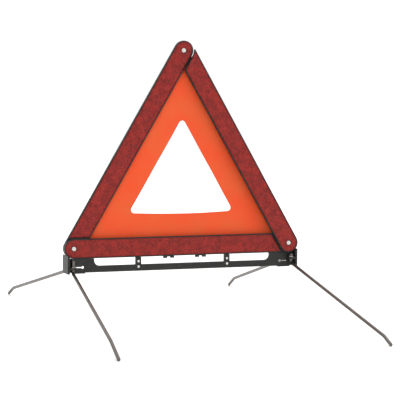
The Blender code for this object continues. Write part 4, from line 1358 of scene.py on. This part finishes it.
    def eyelet(self, name: str, x: float, z: float) -> Object:
        """A rolled steel eyelet that lines a hole in the cloth: a circle turned about the hole.

        Args:
            name: the piece's name.
            x: X of the hole in the panel's frame.
            z: Z of the hole.

        Returns:
            The piece.
        """
        ring = arc_points((self.eyelet_radius, 0.0), self.eyelet_roll, 0, 360, 17)[:-1]
        turn = np.linspace(0, 2 * np.pi, 32, endpoint=False)
        radius, height = ring[:, 0][:, None], ring[:, 1][:, None]
        centre_y = self.depth + self.thickness
        across, up = radius * np.cos(turn), radius * np.sin(turn)
        grid = np.stack([x + across, centre_y + height + 0 * turn, z + up], -1)
        uv = np.zeros((grid.shape[0] + 1, grid.shape[1] + 1, 2))
        rolled = Surface.from_grid(grid, uv, close_rows=True, close_columns=True)
        obj = rolled.mapped(self.local.place).to_object(name)
        recalculate(obj)
        return finished(obj, ZINC, "left_arm")


def recalculate(obj: Object) -> None:
    """Turns every closed shell of a mesh the right way out.

    Args:
        obj: the piece, changed in place.
    """
    shape = bmesh.new()
    shape.from_mesh(obj.data)
    bmesh.ops.recalc_face_normals(shape, faces=shape.faces)
    shape.to_mesh(obj.data)
    shape.free()


# ----------------------------------------------------------------------------------- base and legs


class Corner(Enum):
    """The four legs, each with its side and its depth side."""

    FRONT_LEFT = (-1, -1)
    FRONT_RIGHT = (1, -1)
    REAR_LEFT = (-1, 1)
    REAR_RIGHT = (1, 1)

    @property
    def bent_end(self) -> tuple[float, float]:
        """Length and slope in degrees of the leg's bent end, which differ from leg to leg."""
        return {
            "FRONT_LEFT": (0.065, 18),
            "FRONT_RIGHT": (0.028, 25),
            "REAR_LEFT": (0.036, 25),
            "REAR_RIGHT": (0.044, 25),
        }[self.name]

    @property
    def label(self) -> str:
        """The name that its body and node start with."""
        return self.name.lower()


@dataclass
class WireLeg:
    """One leg: a single bent wire, with its pivot stub, an elbow, a long thigh, a knee and a shin."""

    corner: Corner
    shin: float  # length of the bent end
    slope: float  # of the bent end to the ground, in degrees
    radius: float = 0.0030
    foot: tuple[float, float] = (0.2350, 0.3975)  # tip's X and Y, without their signs
    elbow: float = 0.0060
    knee: float = 0.040
    stub_top: float = 0.0192  # below the lower pivots

    def route(self) -> tuple[np.ndarray, np.ndarray]:
        """The wire's centre line, from its stub to its tip, and the unit vector square to it.

        In the leg's own plane, X runs along the thigh and Z up the pivot's axis. The elbow and
        the knee are arcs, and all else is straight.

        Returns:
            (n, 3) points, and the unit vector square to the plane that they lie in.
        """
        side, depth = self.corner.value
        swing = f"{self.corner.label}_leg_swing"
        root, axis = joint_place(swing), joint_axis(swing)
        slope = math.radians(self.slope)
        tip = np.array([side * self.foot[0], depth * self.foot[1], self.radius * math.cos(slope)])
        outward = unit((tip - root)[:2])
        run, drop = self.shin * math.cos(slope), self.shin * math.sin(slope)
        knee = tip - np.array([outward[0] * run, outward[1] * run, -drop])
        thigh = float(np.linalg.norm(knee - root))
        direction = (knee - root) / thigh
        bend = slope - math.asin(-direction[2])
        top = (joint_place("left_arm_fold")[2] - self.stub_top - root[2]) / axis[2]
        reach = self.knee * math.tan(bend / 2)
        turned = arc_points((thigh - reach, -self.knee), self.knee, 90, 90 - math.degrees(bend), 13)
        shin = (self.shin - reach) * np.array([math.cos(bend), -math.sin(bend)])
        corners = [
            np.linspace([0, top], [0, self.elbow], 12)[:-1],
            arc_points((self.elbow, self.elbow), self.elbow, 180, 270, 15),
            np.linspace([self.elbow, 0], [thigh - reach, 0], 60)[1:-1],
            turned,
            np.linspace(turned[-1], turned[-1] + shin, 14)[1:],
        ]
        flat = np.concatenate(corners)
        across = np.cross(axis, direction)
        return root + flat[:, :1] * direction + flat[:, 1:] * axis, across

    def build(self) -> Object:
        """Makes the wire, and dresses its push nut.

        Returns:
            The piece.
        """
        path, across = self.route()
        label = self.corner.label
        obj = swept_wire(path, across, self.radius, steps=24).to_object(f"{label}_wire_leg")
        dress_node(f"{label}_leg_retainer", ZINC)
        return finished(obj, WIRE, f"{label}_leg", f"{label}_leg")


@dataclass
class BaseRail:
    """The moulded rail, its end brackets, its clips and its fixings, shown as they are packed."""

    moulded: tuple[str, ...] = (
        "base_rail",
        "left_bracket",
        "right_bracket",
        "left_loop_clip",
        "right_loop_clip",
    )
    sides: tuple[str, ...] = ("left", "right")
    fixings: tuple[str, ...] = (
        "post_upper_rivet",
        "post_lower_rivet",
        "panel_screw",
        "panel_washer",
        "bracket_screw_1",
        "bracket_screw_2",
    )

    def build(self) -> list[Object]:
        """Dresses the moulded and metal nodes.

        Returns:
            No pieces, as nothing here is new.
        """
        for node in self.moulded:
            dress_node(node, BLACK_ABS)
        for side in self.sides:
            for fixing in self.fixings:
                dress_node(f"{side}_{fixing}", ZINC)
        return []


# ------------------------------------------------------------------------------------------ studio


@dataclass
class Studio:
    """A white paper bowl, soft lights, and the camera."""

    bowl: float = 6.0
    bowl_bend: float = 3.0
    camera_place: tuple[float, float, float] = (-0.97117, -2.93592, 0.47403)
    yaw: float = math.radians(18.8988)
    pitch: float = math.radians(4.7322)
    roll: float = math.radians(0.3371)
    lens: float = 153.08
    sensor: float = 36.0
    air: str = "#ffffff"
    air_strength: float = 1.0
    target: tuple[float, float, float] = (0, 0, 0.25)  # where the lights look
    lights: tuple[tuple[str, tuple[float, float, float], float, float], ...] = (
        ("key_light", (-2.2, -3.2, 3.0), 2.4, 40.0),
        ("fill_light", (3.0, -2.4, 1.8), 2.4, 12.0),
        ("top_light", (0.0, 0.4, 4.2), 3.0, 50.0),
        ("rear_light", (0.8, 3.6, 2.6), 2.4, 30.0),
    )

    def backdrop(self) -> Object:
        """A flat round floor whose rim rises: radius and height follow a line, then an arc.

        Returns:
            The floor, which is no part of the object.
        """
        flat = np.stack([np.linspace(0, self.bowl, 8), np.zeros(8)], -1)
        rim = arc_points((self.bowl, self.bowl_bend), self.bowl_bend, -90, 0, 14)
        surface = revolve(np.concatenate([flat, rim[1:]]), 96).turned_inside_out()
        obj = surface.to_object("studio_bowl")
        obj.data.materials.append(PAPER.material())
        return obj

    def soft_light(self, name: str, place: tuple[float, float, float], size: float, power: float) -> None:
        """A square light that looks at the middle of the triangle.

        Args:
            name: the light's name.
            place: where it stands.
            size: its side, in metres.
            power: in watts.
        """
        data = bpy.data.lights.new(name, "AREA")
        data.size = size
        data.energy = power
        obj = bpy.data.objects.new(name, data)
        bpy.context.scene.collection.objects.link(obj)
        obj.location = place
        aim = Vector(self.target) - obj.location
        obj.rotation_euler = aim.to_track_quat("-Z", "Y").to_euler()

    def air_light(self) -> None:
        """Even white light from all round."""
        world = bpy.data.worlds.new("studio_air")
        world.use_nodes = True
        back = world.node_tree.nodes["Background"]
        back.inputs["Color"].default_value = linear(self.air)
        back.inputs["Strength"].default_value = self.air_strength
        bpy.context.scene.world = world

    def camera(self) -> None:
        """The camera, from its place, its heading to the right, its tilt down and its roll."""
        data = bpy.data.cameras.new("camera")
        data.lens, data.sensor_width = self.lens, self.sensor
        data.clip_start, data.clip_end = 0.1, 60.0
        obj = bpy.data.objects.new("camera", data)
        bpy.context.scene.collection.objects.link(obj)
        sine, cosine = math.sin(self.yaw), math.cos(self.yaw)
        forward = Vector((sine * math.cos(self.pitch), cosine * math.cos(self.pitch), -math.sin(self.pitch)))
        level = Vector((cosine, -sine, 0))
        upright = level.cross(forward)
        right = level * math.cos(self.roll) + upright * math.sin(self.roll)
        up = upright * math.cos(self.roll) - level * math.sin(self.roll)
        turn = Matrix((right, up, -forward)).transposed().to_4x4()
        obj.matrix_world = Matrix.Translation(self.camera_place) @ turn
        bpy.context.scene.camera = obj

    def build(self) -> None:
        """Sets everything up, with colours shown as they are."""
        bpy.context.scene.view_settings.view_transform = "Standard"
        self.backdrop()
        self.air_light()
        for light in self.lights:
            self.soft_light(*light)
        self.camera()


def main() -> None:
    """Builds every sub-assembly in order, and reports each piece."""
    logging.basicConfig(level=logging.INFO, format="%(message)s")
    Studio().build()
    left, back = joint_place("left_arm_fold"), joint_axis("left_arm_fold")
    spacing = float(joint_place("right_arm_fold")[0] - left[0])
    across = np.array([1.0, 0, 0])
    slope = Local(left, across, back, np.cross(across, back))
    assemblies = {
        "reflector arms": ReflectorArms().build,
        "fabric panel": FabricPanel(spacing, slope).build,
        "base rail": BaseRail().build,
        "wire legs": lambda: [WireLeg(corner, *corner.bent_end).build() for corner in Corner],
    }
    for name, build in assemblies.items():
        for piece in build():
            LOG.info("%s: %s, %d faces", name, piece.name, len(piece.data.polygons))


if __name__ == "__main__":
    main()
